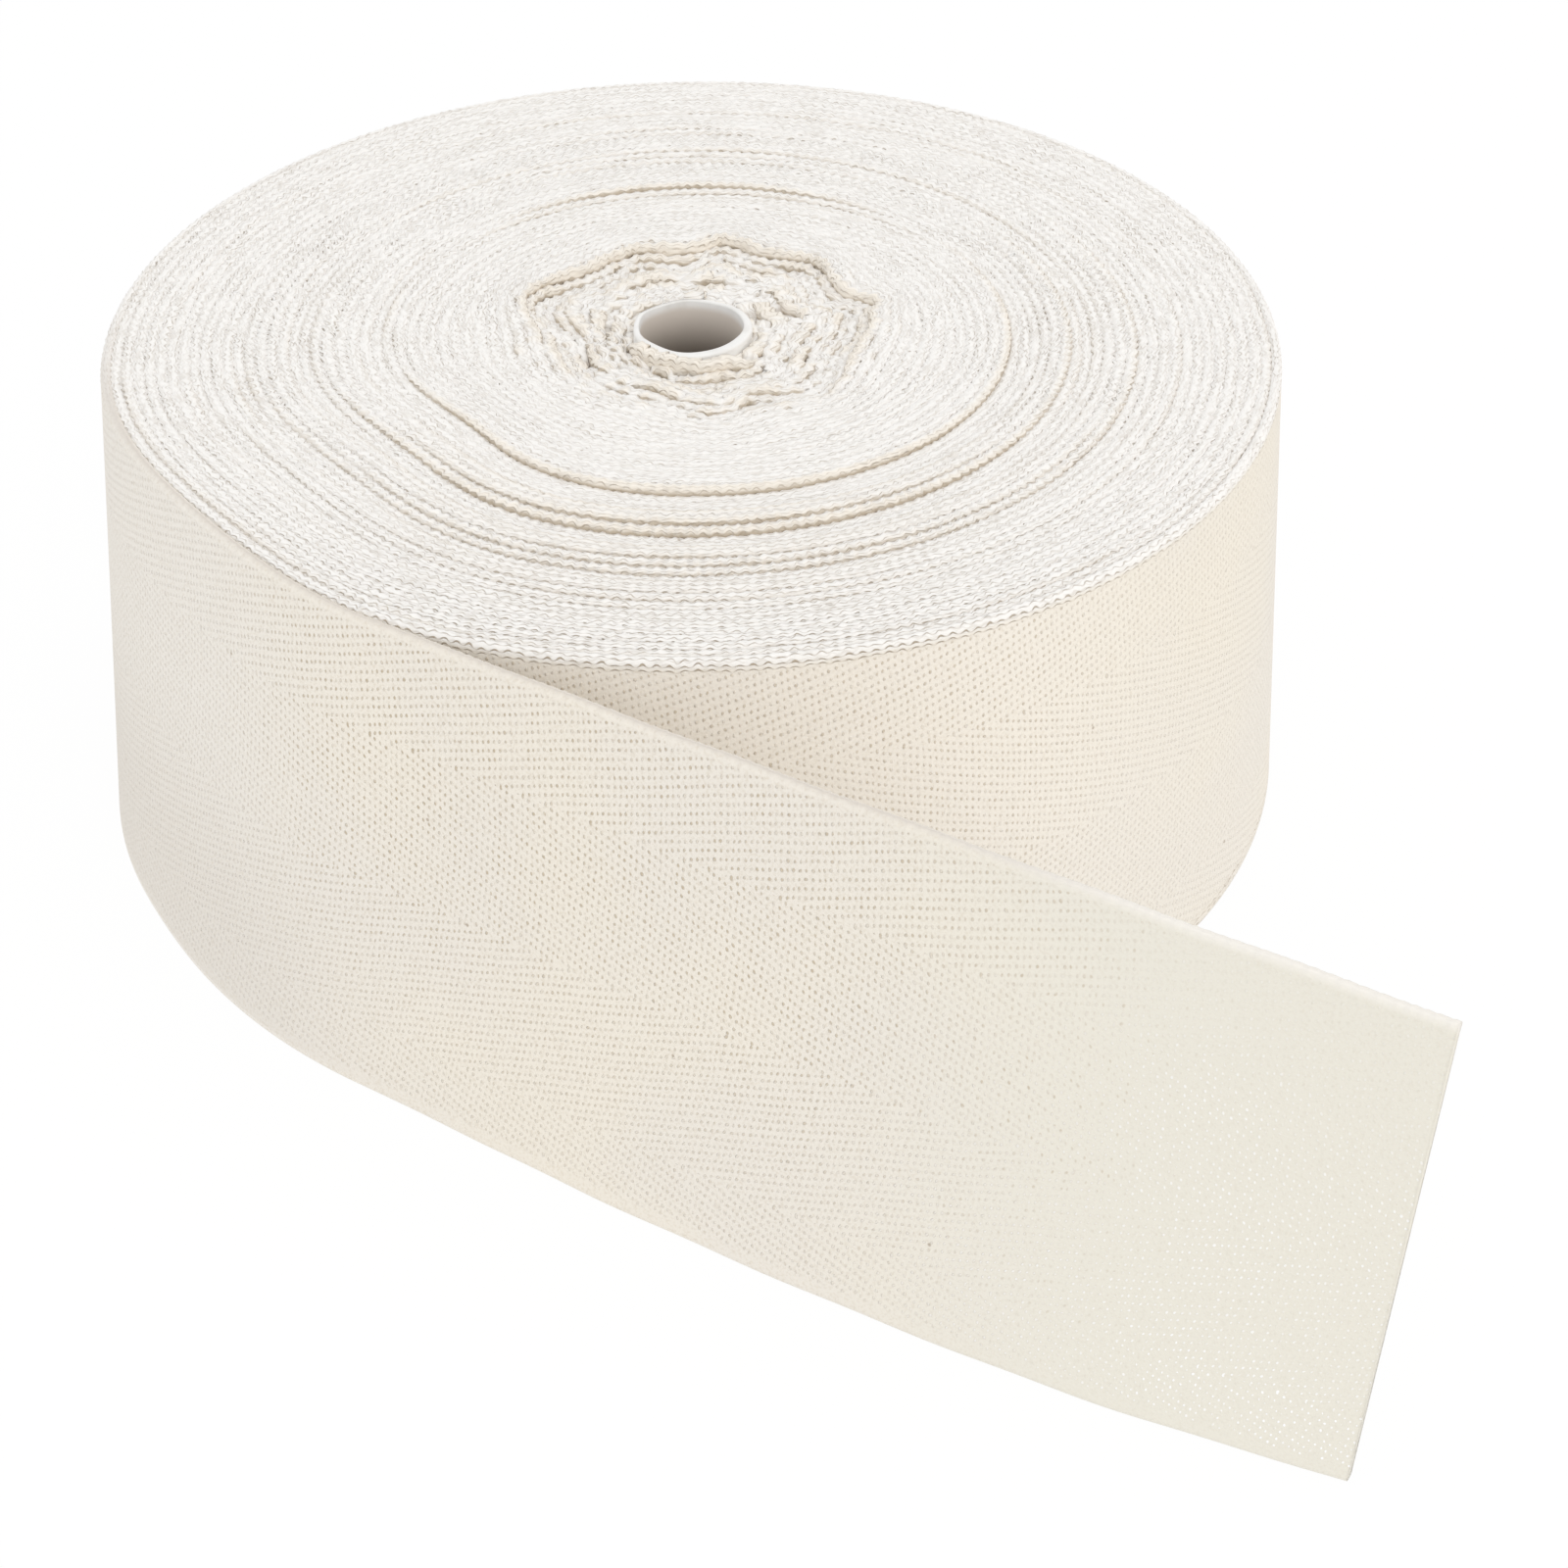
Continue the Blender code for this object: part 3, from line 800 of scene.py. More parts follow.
@dataclass(frozen=True)
class WhiteTubeFinish:
    """White moulded tube, satin and slightly scuffed, with painted shade that darkens down inside its
    bore.
    """

    bore_centre: Pair
    name: str = "white_polypropylene_tube"
    colour: str = "#F1F0EE"
    scuff: str = "#E6E4E0"
    # Painted shade on the bore's wall, from just under the rim to deep down.
    inside: str = "#DDD4CA"
    deep: str = "#5D5043"
    roughness: float = 0.45
    scuff_size: float = 2.5 * MM
    scuffed: Ramp = Ramp(0.45, 0.75)
    bore: Ramp = Ramp(5.47 * MM, 5.33 * MM)
    under_rim: Ramp = Ramp(50.0 * MM, 49.0 * MM)
    depth: Ramp = Ramp(50.0 * MM, 42.0 * MM)
    bump_depth: float = 0.05 * MM
    bump_strength: float = 0.6

    def build(self) -> bpy.types.Material:
        """The material: soft scuffs a few millimetres wide, a faint unevenness, and painted shade down
        the bore.

        Returns:
            The material.
        """
        made, shader = blank_finish(self.name, {"Roughness": self.roughness})
        tree = made.node_tree
        place = add(tree, "TexCoord", {}, "Object")
        noise = {"Vector": place, "Scale": 1.0 / self.scuff_size, "Detail": 4.0}
        noise = add(tree, "TexNoise", noise)
        flat = add(tree, "VectorMath", {0: place, 1: (1.0, 1.0, 0.0)}, operation="MULTIPLY")
        centre = (*self.bore_centre, 0.0)
        away = add(tree, "VectorMath", {0: flat, 1: centre}, "Value", operation="DISTANCE")
        level = add(tree, "SeparateXYZ", {0: place}, 2)
        ramps = (
            (noise, self.scuffed),
            (away, self.bore),
            (level, self.under_rim),
            (level, self.depth),
        )
        shares = []
        for reading, ramp in ramps:
            ramped = {0: reading} | ramp.held
            shares.append(add(tree, "MapRange", ramped, interpolation_type="SMOOTHSTEP"))
        scuffed, bore, under_rim, depth = shares
        outside = {0: scuffed, 6: linear(self.colour), 7: linear(self.scuff)}
        outside = add(tree, "Mix", outside, 2, data_type="RGBA")
        # Painted shade down the bore, darker with depth below the rim.
        inside = {0: depth, 6: linear(self.inside), 7: linear(self.deep)}
        inside = add(tree, "Mix", inside, 2, data_type="RGBA")
        within = add(tree, "Math", {0: bore, 1: under_rim}, operation="MULTIPLY")
        colour = add(tree, "Mix", {0: within, 6: outside, 7: inside}, 2, data_type="RGBA")
        tree.links.new(colour, shader.inputs["Base Color"])
        bump = {"Height": noise, "Distance": self.bump_depth, "Strength": self.bump_strength}
        tree.links.new(add(tree, "Bump", bump), shader.inputs["Normal"])
        return made


@dataclass(frozen=True)
class PaleFloorFinish:
    """Lit white acrylic sweep: it glows a little, so only a trace of shadow lies on it."""

    axis: Pair
    name: str = "lit_white_acrylic"
    colour: str = "#505050"
    light: str = "#FFFFFF"
    roughness: float = 0.9
    glow: Ramp = Ramp(45.0 * MM, 62.0 * MM, 0.0, 0.92)

    def build(self) -> bpy.types.Material:
        """The material: matt white, with an even glow everywhere but under the roll.

        Returns:
            The material.
        """
        held = {
            "Base Color": linear(self.colour),
            "Roughness": self.roughness,
            "Specular IOR Level": 0.0,
            "Emission Color": linear(self.light),
        }
        made, shader = blank_finish(self.name, held)
        tree = made.node_tree
        place = add(tree, "TexCoord", {}, "Object")
        away = {0: place, 1: (*self.axis, 0.0)}
        away = {0: add(tree, "VectorMath", away, "Value", operation="DISTANCE")}
        lit = add(tree, "MapRange", away | self.glow.held, interpolation_type="SMOOTHSTEP")
        tree.links.new(lit, shader.inputs["Emission Strength"])
        return made


# ---------------------------------------------------------------- form of the roll


class StarCorner(NamedTuple):
    """A corner of the star-shaped edge of the crumpled turns."""

    azimuth: float
    radius: float


class Level(NamedTuple):
    """Height of the upper face, in millimetres, at one nominal radius in millimetres."""

    radius: float
    front: float
    right: float
    back: float
    left: float


class Lean(NamedTuple):
    """How far the tape's foot stands out from its rim, at a distance from the leaving point."""

    along: float
    out: float


STAR = (
    StarCorner(9.0, 16.6 * MM),
    StarCorner(18.0, 18.0 * MM),
    StarCorner(31.0, 15.8 * MM),
    StarCorner(51.0, 18.0 * MM),
    StarCorner(66.0, 16.9 * MM),
    StarCorner(82.0, 18.6 * MM),
    StarCorner(94.0, 16.3 * MM),
    StarCorner(110.0, 17.5 * MM),
    StarCorner(130.0, 16.2 * MM),
    StarCorner(155.0, 18.0 * MM),
    StarCorner(185.0, 14.3 * MM),
    StarCorner(220.0, 14.6 * MM),
    StarCorner(252.0, 14.1 * MM),
    StarCorner(282.0, 16.4 * MM),
    StarCorner(295.0, 15.1 * MM),
    StarCorner(318.0, 17.0 * MM),
    StarCorner(346.0, 15.2 * MM),
)

# One row for each group of turns. Neighbouring rows a turn apart are the treads of a step.
LEVELS = (
    Level(6.8, -0.8, -0.4, 0.0, -0.6),
    Level(7.9, 0.8, -0.1, 0.1, -0.1),
    Level(9.1, -0.5, 0.1, -0.1, -0.2),
    Level(10.2, -1.1, -0.2, -0.2, 0.0),
    Level(11.4, -0.9, 0.1, -0.1, -0.2),
    Level(12.5, -0.4, -0.1, -0.2, 0.0),
    Level(13.7, 0.0, -0.4, -0.75, -0.4),
    Level(14.8, 0.2, -0.7, -1.2, -0.65),
    Level(15.9, -0.2, -0.75, -1.05, -0.7),
    Level(17.0, -0.5, -0.45, -0.7, -0.3),
    Level(18.1, -0.4, 0.35, 0.4, 0.4),
    Level(19.2, -0.3, 0.3, 0.45, 0.3),
    Level(21.0, -0.1, 0.15, 0.3, 0.1),
    Level(26.5, 0.2, 0.1, -0.05, 0.1),
    Level(27.6, 0.25, 0.15, 0.2, 0.1),
    Level(29.1, 0.4, 0.25, 0.0, 0.15),
    Level(30.2, 0.45, 0.3, -0.25, 0.25),
    Level(31.3, 0.5, 0.3, 0.0, 0.2),
    Level(32.4, -0.25, -0.15, 0.45, -0.1),
    Level(33.5, -0.2, -0.1, 0.45, 0.0),
    Level(34.6, -0.1, 0.0, 0.35, 0.05),
    Level(35.7, 0.4, 0.15, 0.15, 0.1),
    Level(36.8, 0.7, 0.3, 0.0, 0.2),
    Level(37.9, 0.25, 0.3, -0.1, 0.2),
    Level(39.0, -0.35, 0.0, 0.1, 0.05),
    Level(40.1, -0.2, -0.15, 0.25, -0.1),
    Level(41.2, 0.15, 0.0, 0.45, 0.0),
    Level(42.3, 0.5, 0.15, 0.45, 0.1),
    Level(43.4, 0.3, 0.25, 0.3, 0.15),
    Level(44.5, 0.0, 0.15, 0.15, 0.1),
    Level(45.6, -0.3, -0.1, 0.25, -0.05),
    Level(46.7, 0.0, 0.0, 0.35, 0.0),
    Level(47.8, 0.25, 0.1, 0.25, 0.1),
    Level(48.9, 0.15, 0.15, 0.2, 0.1),
    Level(50.0, 0.0, 0.0, 0.0, 0.0),
    Level(51.1, -0.15, 0.05, 0.15, 0.0),
    Level(53.3, 0.2, 0.15, 0.25, 0.15),
    Level(57.4, 0.1, 0.1, 0.15, 0.1),
    Level(59.0, -0.15, -0.1, 0.0, -0.1),
)

LOOSE_LENGTH = 103.0 * MM
LEANS = (
    Lean(-95.0 * MM, 4.7 * MM),
    Lean(-54.0 * MM, 4.1 * MM),
    Lean(-37.0 * MM, 5.8 * MM),
    Lean(-22.0 * MM, 7.3 * MM),
    Lean(0.0 * MM, 7.3 * MM),
    Lean(30.0 * MM, 8.2 * MM),
    Lean(60.0 * MM, 7.6 * MM),
    Lean(80.0 * MM, 6.1 * MM),
    Lean(LOOSE_LENGTH, 2.6 * MM),
)


@dataclass(frozen=True)
class RollForm:
    """Where the tape's upper edge and foot lie, turn by turn, about the roll's axis."""

    axis: Pair
    width: float = 50.0 * MM
    thickness: float = 1.0 * MM
    pitch: float = 1.1 * MM
    loose_pitch: float = 1.15 * MM
    rim_radius: float = 59.0 * MM
    rim_slide: float = 0.25 * MM
    foot_radius: float = 62.9 * MM
    foot_shift: Pair = (-0.5 * MM, 1.1 * MM)
    edge_level: float = 49.8 * MM
    leave_azimuth: float = 242.3
    seam_azimuth: float = 190.0
    seam_blend: float = 0.07
    flat_depth: float = 2.4 * MM
    flat_azimuth: float = 219.0
    flat_spread: float = 20.0
    flat_from: float = 18.0 * MM
    flat_full: float = 30.0 * MM
    crumpled_radius: float = 15.7 * MM
    inmost_radius: float = 6.36 * MM
    inner_slide: float = 0.7 * MM
    inner_slide_azimuth: float = 30.0
    slide_from: float = 11.0 * MM
    slide_fade: Pair = (31.8 * MM, 38.0 * MM)
    star_mean: float = 16.2 * MM
    star_fade: float = 28.0 * MM
    star_sharpness: float = 1.6
    star_core: float = 1.5 * MM
    lean_fade: float = 2.5
    cut_lean: float = 2.5 * MM

    def azimuth(self, turns: Array) -> Array:
        """Azimuth in degrees at a count of turns inwards from the leaving point."""
        return self.leave_azimuth - 360.0 * np.asarray(turns, float)

    @property
    def firm_turns(self) -> float:
        """Turns from the leaving point in to the crumpled ones."""
        return 0.5 + (self.rim_radius - self.crumpled_radius) / self.pitch

    @property
    def all_turns(self) -> float:
        """Turns from the leaving point in to the tube."""
        return self.firm_turns + (self.crumpled_radius - self.inmost_radius) / self.loose_pitch

    def nominal_radius(self, turns: Array) -> Array:
        """Radius of the plain spiral: it falls by one pitch a turn, and faster in the loose turns."""
        firm = self.rim_radius + self.pitch * (0.5 - np.minimum(turns, self.firm_turns))
        return firm - self.loose_pitch * np.maximum(turns - self.firm_turns, 0.0)

    def stepped_turns(self, turns: Array) -> Array:
        """The turn count held still round each turn, so that a whole turn takes one level.

        It moves to the next turn in a short eased stretch at the seam's azimuth.

        Args:
            turns: Turns inwards from the leaving point.

        Returns:
            The held counts.
        """
        offset = (self.leave_azimuth - self.seam_azimuth) / 360.0
        from_seam = turns - offset
        nearest = np.round(from_seam)
        eased = smoothstep(-self.seam_blend, self.seam_blend, from_seam - nearest)
        return nearest - 0.5 + eased + offset

    def flattening(self, azimuth: Array) -> Array:
        """How far the turns are pressed in where the tape is drawn off: a bell curve round it."""
        away = (azimuth % 360.0 - self.flat_azimuth) / self.flat_spread
        return self.flat_depth * np.exp(-(away**2))

    def star_share(self, radius: Array) -> Array:
        """How far a turn follows the star: in full at the crumpled edge, fading both ways.

        Args:
            radius: Nominal radius.

        Returns:
            One value from 0 to 1.
        """
        outside = 1.0 - smoothstep(self.crumpled_radius, self.star_fade, radius)
        inside = smoothstep(self.inmost_radius - self.star_core, self.crumpled_radius, radius)
        return np.where(radius > self.crumpled_radius, outside**self.star_sharpness, inside)

    def upper_radius(self, turns: Array) -> Array:
        """Plan radius of the outer face at the upper edge.

        The spiral, slid a little towards +X, pressed in at the flat and drawn to the star.

        Args:
            turns: Turns inwards from the leaving point.

        Returns:
            One radius for each turn count.
        """
        azimuth = self.azimuth(turns)
        nominal = self.nominal_radius(turns)
        star = eased_round(azimuth, [c.azimuth for c in STAR], [c.radius for c in STAR])
        slide = self.rim_slide * np.cos(np.radians(azimuth)) * (nominal / self.rim_radius) ** 2
        inner = 1.0 - smoothstep(*self.slide_fade, nominal)
        inner = inner * smoothstep(self.inmost_radius, self.slide_from, nominal)
        slide = slide + self.inner_slide * inner * np.cos(np.radians(azimuth - self.inner_slide_azimuth))
        pressed = self.flattening(azimuth) * smoothstep(self.flat_from, self.flat_full, nominal)
        drawn = self.star_share(nominal) * (star - self.star_mean)
        return nominal + slide - pressed + drawn

    def rim_turns(self, along: Array) -> Array:
        """Turns inwards of the outermost tape, by the distance along its rim."""
        return np.maximum(-along, 0.0) / (2.0 * np.pi * self.rim_radius)

    def rim_point(self, turns: Array) -> Array:
        """Plan points of the plain upper edge about the roll's axis."""
        return self.upper_radius(turns)[:, None] * unit(self.azimuth(turns))

    def level(self, turns: Array) -> Array:
        """Height of the upper edge, with each group of turns stepped up or down.

        The four directions share the height by the squares of the azimuth's cosine and sine.

        Args:
            turns: Turns inwards from the leaving point.

        Returns:
            One height for each turn count.
        """
        radius = self.nominal_radius(self.stepped_turns(turns)) / MM
        facing = unit(self.azimuth(turns))
        radii, *columns = np.array(LEVELS).T
        shares = (-facing[:, 1], facing[:, 0], facing[:, 1], -facing[:, 0])
        height = np.zeros_like(radius)
        for share, heights in zip(shares, columns):
            height += np.maximum(share, 0.0) ** 2 * np.interp(radius, radii, heights)
        return self.edge_level + MM * height

    def circle_lean(self, azimuth: Array) -> Array:
        """How far the round foot stands out from the rim, kept inside the loose end's foot.

        Args:
            azimuth: Degrees to read at.

        Returns:
            One distance for each azimuth.
        """
        shift = unit(azimuth) @ np.array(self.foot_shift)
        rim = self.rim_radius + self.rim_slide * np.cos(np.radians(azimuth)) - self.flattening(azimuth)
        circle = self.foot_radius + shift - rim
        along = np.radians((azimuth - self.leave_azimuth + 180.0) % 360.0 - 180.0) * self.rim_radius
        covered = (along > LEANS[0].along) & (along <= 0.0)
        return np.where(covered, np.minimum(circle, self.loose_lean(along)), circle)

    def loose_lean(self, along: Array) -> Array:
        """How far the foot of the outermost tape stands out, by the distance along its rim."""
        return curved(along, [row.along for row in LEANS], [row.out for row in LEANS])

    def lean(self, turns: Array) -> Array:
        """How far a wound turn's foot stands out from its upper edge, less for the inner turns."""
        share = (self.nominal_radius(turns) / self.rim_radius) ** self.lean_fade
        return self.circle_lean(self.azimuth(turns)) * share


# ---------------------------------------------------------------- the tape's edge


@dataclass(frozen=True)
class WovenEdge:
    """The selvage seen from above: the weft's loops wind round it like the strands of a thin rope."""

    loop: float = 1.22 * MM
    sway: float = 0.13 * MM
    rise: float = 0.05 * MM
    strand: float = 0.03 * MM
    twist: float = 1.1
    lag: float = 0.6
    drift_lengths: tuple[float, ...] = (23.0 * MM, 11.3 * MM, 5.9 * MM)
    drift: tuple[float, ...] = (2.2, 1.3, 0.8)

    def phase(self, along: Array) -> Array:
        """Angle round the loops: one turn a loop, wandering on a few longer waves.

        Args:
            along: Distance along the tape.

        Returns:
            One angle in radians for each distance.
        """
        angle = 2.0 * np.pi * along / self.loop
        for length, share in zip(self.drift_lengths, self.drift):
            angle = angle + share * np.sin(2.0 * np.pi * along / length + share)
        return angle


@dataclass(frozen=True)
class Section:
    """A cross-section of the tape: places down from the crest, across the wall and on the edge.

    Attributes:
        depth: Distance below the crest of the upper edge, in the tape's plane.
        across: Share of the thickness, 0 on the outer face and 1 on the inner one.
        rope: How far each point joins in the loops of the edge, 0 on the faces.
        angle: Angle round the edge's crown, in degrees, below zero on the outer side.
        map_mm: Place on the tape's map: up the outer face, over the edge, down the inner face.
    """

    depth: Array
    across: Array
    rope: Array
    angle: Array
    map_mm: Array

    @classmethod
    def of_turn(cls, width: float) -> "Section":
        """The plain section of a wound turn: two flat faces and a round upper edge.

        Args:
            width: Width of the tape.

        Returns:
            The section.
        """
        crown = [-80.0, -40.0, 0.0, 40.0, 80.0]
        depth = [width, 1.0 * MM, 0.18 * MM, 0.03 * MM, 0.0, 0.03 * MM, 0.18 * MM, 1.0 * MM, width]
        across = [0.0, -0.02, -0.1, 0.08, 0.5, 0.92, 1.1, 1.02, 1.0]
        rope = [0.0, 0.2, 0.8, 1.0, 1.0, 1.0, 0.8, 0.2, 0.0]
        angle = [-90.0, -90.0, *crown, 90.0, 90.0]
        up = width / MM
        chart = [0.0, up - 1.0, up - 0.4, up, up + 0.5, up + 1.0, up + 1.4, up + 2.0, 2.0 * up + 1.0]
        return cls(*[np.array(row, float) for row in (depth, across, rope, angle, chart)])

    @classmethod
    def of_sheet(cls, width: float, rows: int) -> "Section":
        """The section of the outermost tape, with many rows up both faces and round edges.

        Args:
            width: Width of the tape.
            rows: Rows of points up each face.

        Returns:
            The section.
        """
        face = np.linspace(width - 0.7 * MM, 1.15 * MM, rows)
        crown = np.array([-78.0, -42.0, 0.0, 42.0, 78.0])
        crown_depth = np.array([0.62, 0.2, 0.0, 0.08, 0.35]) * MM
        crown_across = np.array([0.0, 0.2, 0.5, 0.9, 1.07])
        depth = np.concatenate([face, crown_depth, face[::-1], width - crown_depth])
        across = np.concatenate([np.zeros(rows), crown_across, np.ones(rows), crown_across[::-1]])
        rope = np.concatenate([np.zeros(rows), [0.7, 1.0, 1.0, 1.0, 0.7], np.zeros(rows), np.zeros(5)])
        angle = np.concatenate([np.full(rows, -90.0), crown, np.full(rows, 90.0), np.zeros(5)])
        up = width / MM
        edge = up + np.array([-0.46, 0.0, 0.5, 1.0, 1.46])
        outer = up - face / MM
        inner = up + 1.0 + face[::-1] / MM
        under = 2.0 * up + 1.0 + np.array([0.46, 0.6, 0.8, 1.0, 1.3])
        chart = np.concatenate([outer, edge, inner, under])
        return cls(depth, across, rope, angle, chart)


@dataclass(frozen=True)
class TapePath:
    """A stretch of tape, one station after another.

    Attributes:
        crest: (stations, 3) outer face at the upper edge.
        foot: (stations, 3) outer face at the lower edge.
        inward: (stations, 2) plan normal, from the outer face to the inner one.
        along: Distance along the tape from the leaving point, below zero on the roll.
    """

    crest: Array
    foot: Array
    inward: Array
    along: Array

    def skin(
        self, section: Section, edge: WovenEdge, thickness: Array, lively: Array, full: bool
    ) -> Array:
        """Places of a section carried along the path.

        A point lies down from the crest towards the foot and across the wall. Its edge sways
        and rises on the loops, and each strand swells along the normal of the round crown.

        Args:
            section: The cross-section.
            edge: The loops of the woven edge.
            thickness: Thickness of the tape at each station.
            lively: How many times as far the edge sways there.
            full: True measures depths as real distances, False as shares that end at the foot.

        Returns:
            (stations, ring, 3) places.
        """
        down = self.foot - self.crest
        length = np.linalg.norm(down, axis=1)
        down = down / length[:, None]
        normal = np.column_stack([self.inward, np.zeros(len(self.inward))])
        normal = normalised(normal - (normal * down).sum(axis=1)[:, None] * down)
        depth = np.broadcast_to(section.depth, (len(length), len(section.depth)))
        if not full:
            depth = np.where(section.depth >= section.depth.max(), length[:, None], depth)
        phase = edge.phase(self.along)[:, None]
        crown = np.radians(section.angle)[None, :]
        swell = edge.strand * np.sin(phase * 2.0 + edge.twist * crown * 2.0)
        lively = lively[:, None]
        sway = section.rope * (lively * edge.sway * np.sin(phase) + swell * np.sin(crown))
        rise = section.rope * (lively * edge.rise * np.cos(phase + edge.lag) + swell * np.cos(crown))
        over = section.across[None, :] * thickness[:, None] + sway
        under = depth - rise
        lowered = self.crest[:, None, :] + under[..., None] * down[:, None, :]
        return lowered + over[..., None] * normal[:, None, :]

    def chart(self, section: Section) -> Array:
        """The tape's map in millimetres for each point, with the first one again at the end.

        Args:
            section: The cross-section.

        Returns:
            (stations, ring + 1, 2) map.
        """
        round_mm = np.append(section.map_mm, section.map_mm[-1] + 0.5)
        u = np.broadcast_to(self.along[:, None] / MM, (len(self.along), len(round_mm)))
        v = np.broadcast_to(round_mm, u.shape)
        return np.stack([u, v], axis=-1)


# ---------------------------------------------------------------- sub-assemblies


class Fold(NamedTuple):
    """A soft fold of a crumpled turn: how far its edge rises and bulges out, in millimetres.

    Turns are counted from the inner end of the tape, which lies at INNER_END degrees.
    """

    turn: int
    azimuth: float
    spread: float
    rise: float
    bulge: float


INNER_END = 250.0
FOLDS = (
    Fold(0, 200.0, 6.0, -1.0, 0.0),
    Fold(0, 225.0, 14.0, 0.9, 0.1),
    Fold(1, 268.0, 8.0, -0.2, -0.1),
    Fold(1, 298.0, 13.0, 0.1, 0.3),
    Fold(1, 312.0, 8.0, 0.0, 1.2),
    Fold(1, 322.0, 5.0, -1.0, 0.0),
    Fold(1, 34.0, 9.0, -1.2, 0.3),
    Fold(1, 191.0, 6.0, -1.0, -0.1),
    Fold(1, 228.0, 6.0, 0.5, 0.2),
    Fold(1, 240.0, 5.0, -0.9, 0.2),
    Fold(1, 249.0, 5.0, 0.3, -0.3),
    Fold(2, 262.0, 6.0, -0.3, 0.5),
    Fold(2, 308.0, 11.0, 0.1, 1.2),
    Fold(2, 333.0, 6.0, -0.9, 0.1),
    Fold(2, 171.0, 7.0, -1.0, 0.2),
    Fold(2, 205.0, 9.0, 0.4, 0.1),
    Fold(3, 310.0, 14.0, 0.1, 0.8),
    Fold(3, 29.0, 7.0, -0.6, 0.0),
    Fold(3, 84.0, 9.0, -0.7, 0.2),
    Fold(3, 183.0, 6.0, -0.8, 0.0),
    Fold(3, 236.0, 9.0, 0.5, 0.1),
    Fold(4, 341.0, 7.0, -0.8, 0.1),
    Fold(4, 110.0, 12.0, -0.9, 0.2),
    Fold(4, 222.0, 7.0, -0.5, 0.0),
    Fold(5, 265.0, 8.0, -0.5, 0.1),
    Fold(6, 206.0, 9.0, -1.2, 0.0),
)


@dataclass
class WoundTurns:
    """All the wound turns but the outermost, as four long strips of one spiral.

    Fades are by nominal radius, but those of the crumple and its ripple by turns from the tube.
    The flank of an edge is given as two shares of the thickness.
    """

    form: RollForm
    edge: WovenEdge = WovenEdge()
    spacing: float = 0.3 * MM
    first_turn: float = 1.005
    cuts: tuple[float, ...] = (1.005, 10.2, 20.6, 32.4)
    table_steps: int = 360
    seed: int = 11
    wave_sets: int = 64
    wave_cycles: tuple[float, ...] = (0.0, 2.0, 3.0, 5.0, 8.0, 13.0, 21.0, 34.0)
    wave_heights: tuple[float, ...] = (0.45, 0.3, 0.3, 0.3, 0.3, 0.28, 0.24, 0.16)
    uneven: float = 0.11 * MM
    wander: float = 0.07 * MM
    fill: float = 0.93
    crumpled_fill: float = 0.1
    fill_fade: Pair = (15.0 * MM, 19.0 * MM)
    tube_radius: float = 5.97 * MM
    least: float = 0.25 * MM
    most: float = 1.8 * MM
    crumple: float = 0.2 * MM
    crumple_fade: Pair = (8.0, 12.0)
    rise_lobes: tuple[Wave, ...] = (Wave(0.6, 7.0, 2.1), Wave(0.4, 16.0, 1.7))
    bulge_lobes: tuple[Wave, ...] = (Wave(0.6, 5.0, 1.3), Wave(0.4, 11.0, 2.9))
    crumple_sway: float = 0.5
    sway_fade: Pair = (17.0 * MM, 20.0 * MM)
    still: float = 1.5 * MM
    ripple: float = 0.06 * MM
    ripple_fade: Pair = (10.5, 13.0)
    rise_ripples: tuple[Wave, ...] = (Wave(1.0, 27.0, 4.1), Wave(1.0, 41.0, 2.3))
    bulge_ripples: tuple[Wave, ...] = (Wave(1.0, 23.0, 3.7), Wave(1.0, 37.0, 5.2))
    braided: tuple[float, ...] = (37.6 * MM, 43.9 * MM)
    braid_sway: float = 0.8
    braid_spread: float = 1.6 * MM
    clearance: float = 0.02 * MM
    flank: Pair = (0.05, 0.95)

    def unevenness(self, turns: Array, channel: int) -> Array:
        """Small irregularities of a turn, from about -1 to 1, different from turn to turn.

        Each turn has its own set of waves round the circle, blended at the seam.

        Args:
            turns: Turns inwards from the leaving point.
            channel: Which of the independent sets is read.

        Returns:
            One value for each turn count.
        """
        shape = (self.wave_sets, len(self.wave_cycles))
        draw = np.random.default_rng(self.seed + channel)
        heights = draw.uniform(-1.0, 1.0, shape) * np.array(self.wave_heights)
        phases = draw.uniform(0.0, 2.0 * np.pi, shape)
        stepped = self.form.stepped_turns(turns) + 1.0
        low = np.floor(stepped).astype(int)
        share = stepped - low
        angle = np.radians(self.form.azimuth(turns))[:, None] * np.array(self.wave_cycles)
        first = (heights[low] * np.cos(angle + phases[low])).sum(axis=1)
        second = (heights[low + 1] * np.cos(angle + phases[low + 1])).sum(axis=1)
        return first * (1.0 - share) + second * share

    def folds(self, turns: Array) -> tuple[Array, Array]:
        """Rise and bulge of the crumpled turns round the tube, in metres.

        Each fold is a bell curve along its own turn. Broad lobes are added to them, which
        fade out over the last crumpled turns, and small ripples, which reach the star.

        Args:
            turns: Turns inwards from the leaving point.

        Returns:
            One rise and one bulge for each turn count.
        """
        inward = self.form.all_turns - turns
        rise = np.zeros_like(turns)
        bulge = np.zeros_like(turns)
        for fold in FOLDS:
            centre = fold.turn + ((fold.azimuth - INNER_END) % 360.0) / 360.0
            there = np.exp(-(((inward - centre) * 360.0 / fold.spread) ** 2))
            rise += fold.rise * MM * there
            bulge += fold.bulge * MM * there
        angle = np.radians(self.form.azimuth(turns))
        lobes = self.crumple * (1.0 - smoothstep(*self.crumple_fade, inward))
        rise += lobes * summed(self.rise_lobes, angle, inward)
        bulge += lobes * summed(self.bulge_lobes, angle, inward)
        ripples = self.ripple * (1.0 - smoothstep(*self.ripple_fade, inward))
        rise += ripples * summed(self.rise_ripples, angle, inward)
        bulge += ripples * summed(self.bulge_ripples, angle, inward)
        return rise, bulge

    def plan(self, turns: Array) -> Array:
        """Plan points of the upper edge about the roll's axis."""
        return self.radius(turns)[:, None] * unit(self.form.azimuth(turns))

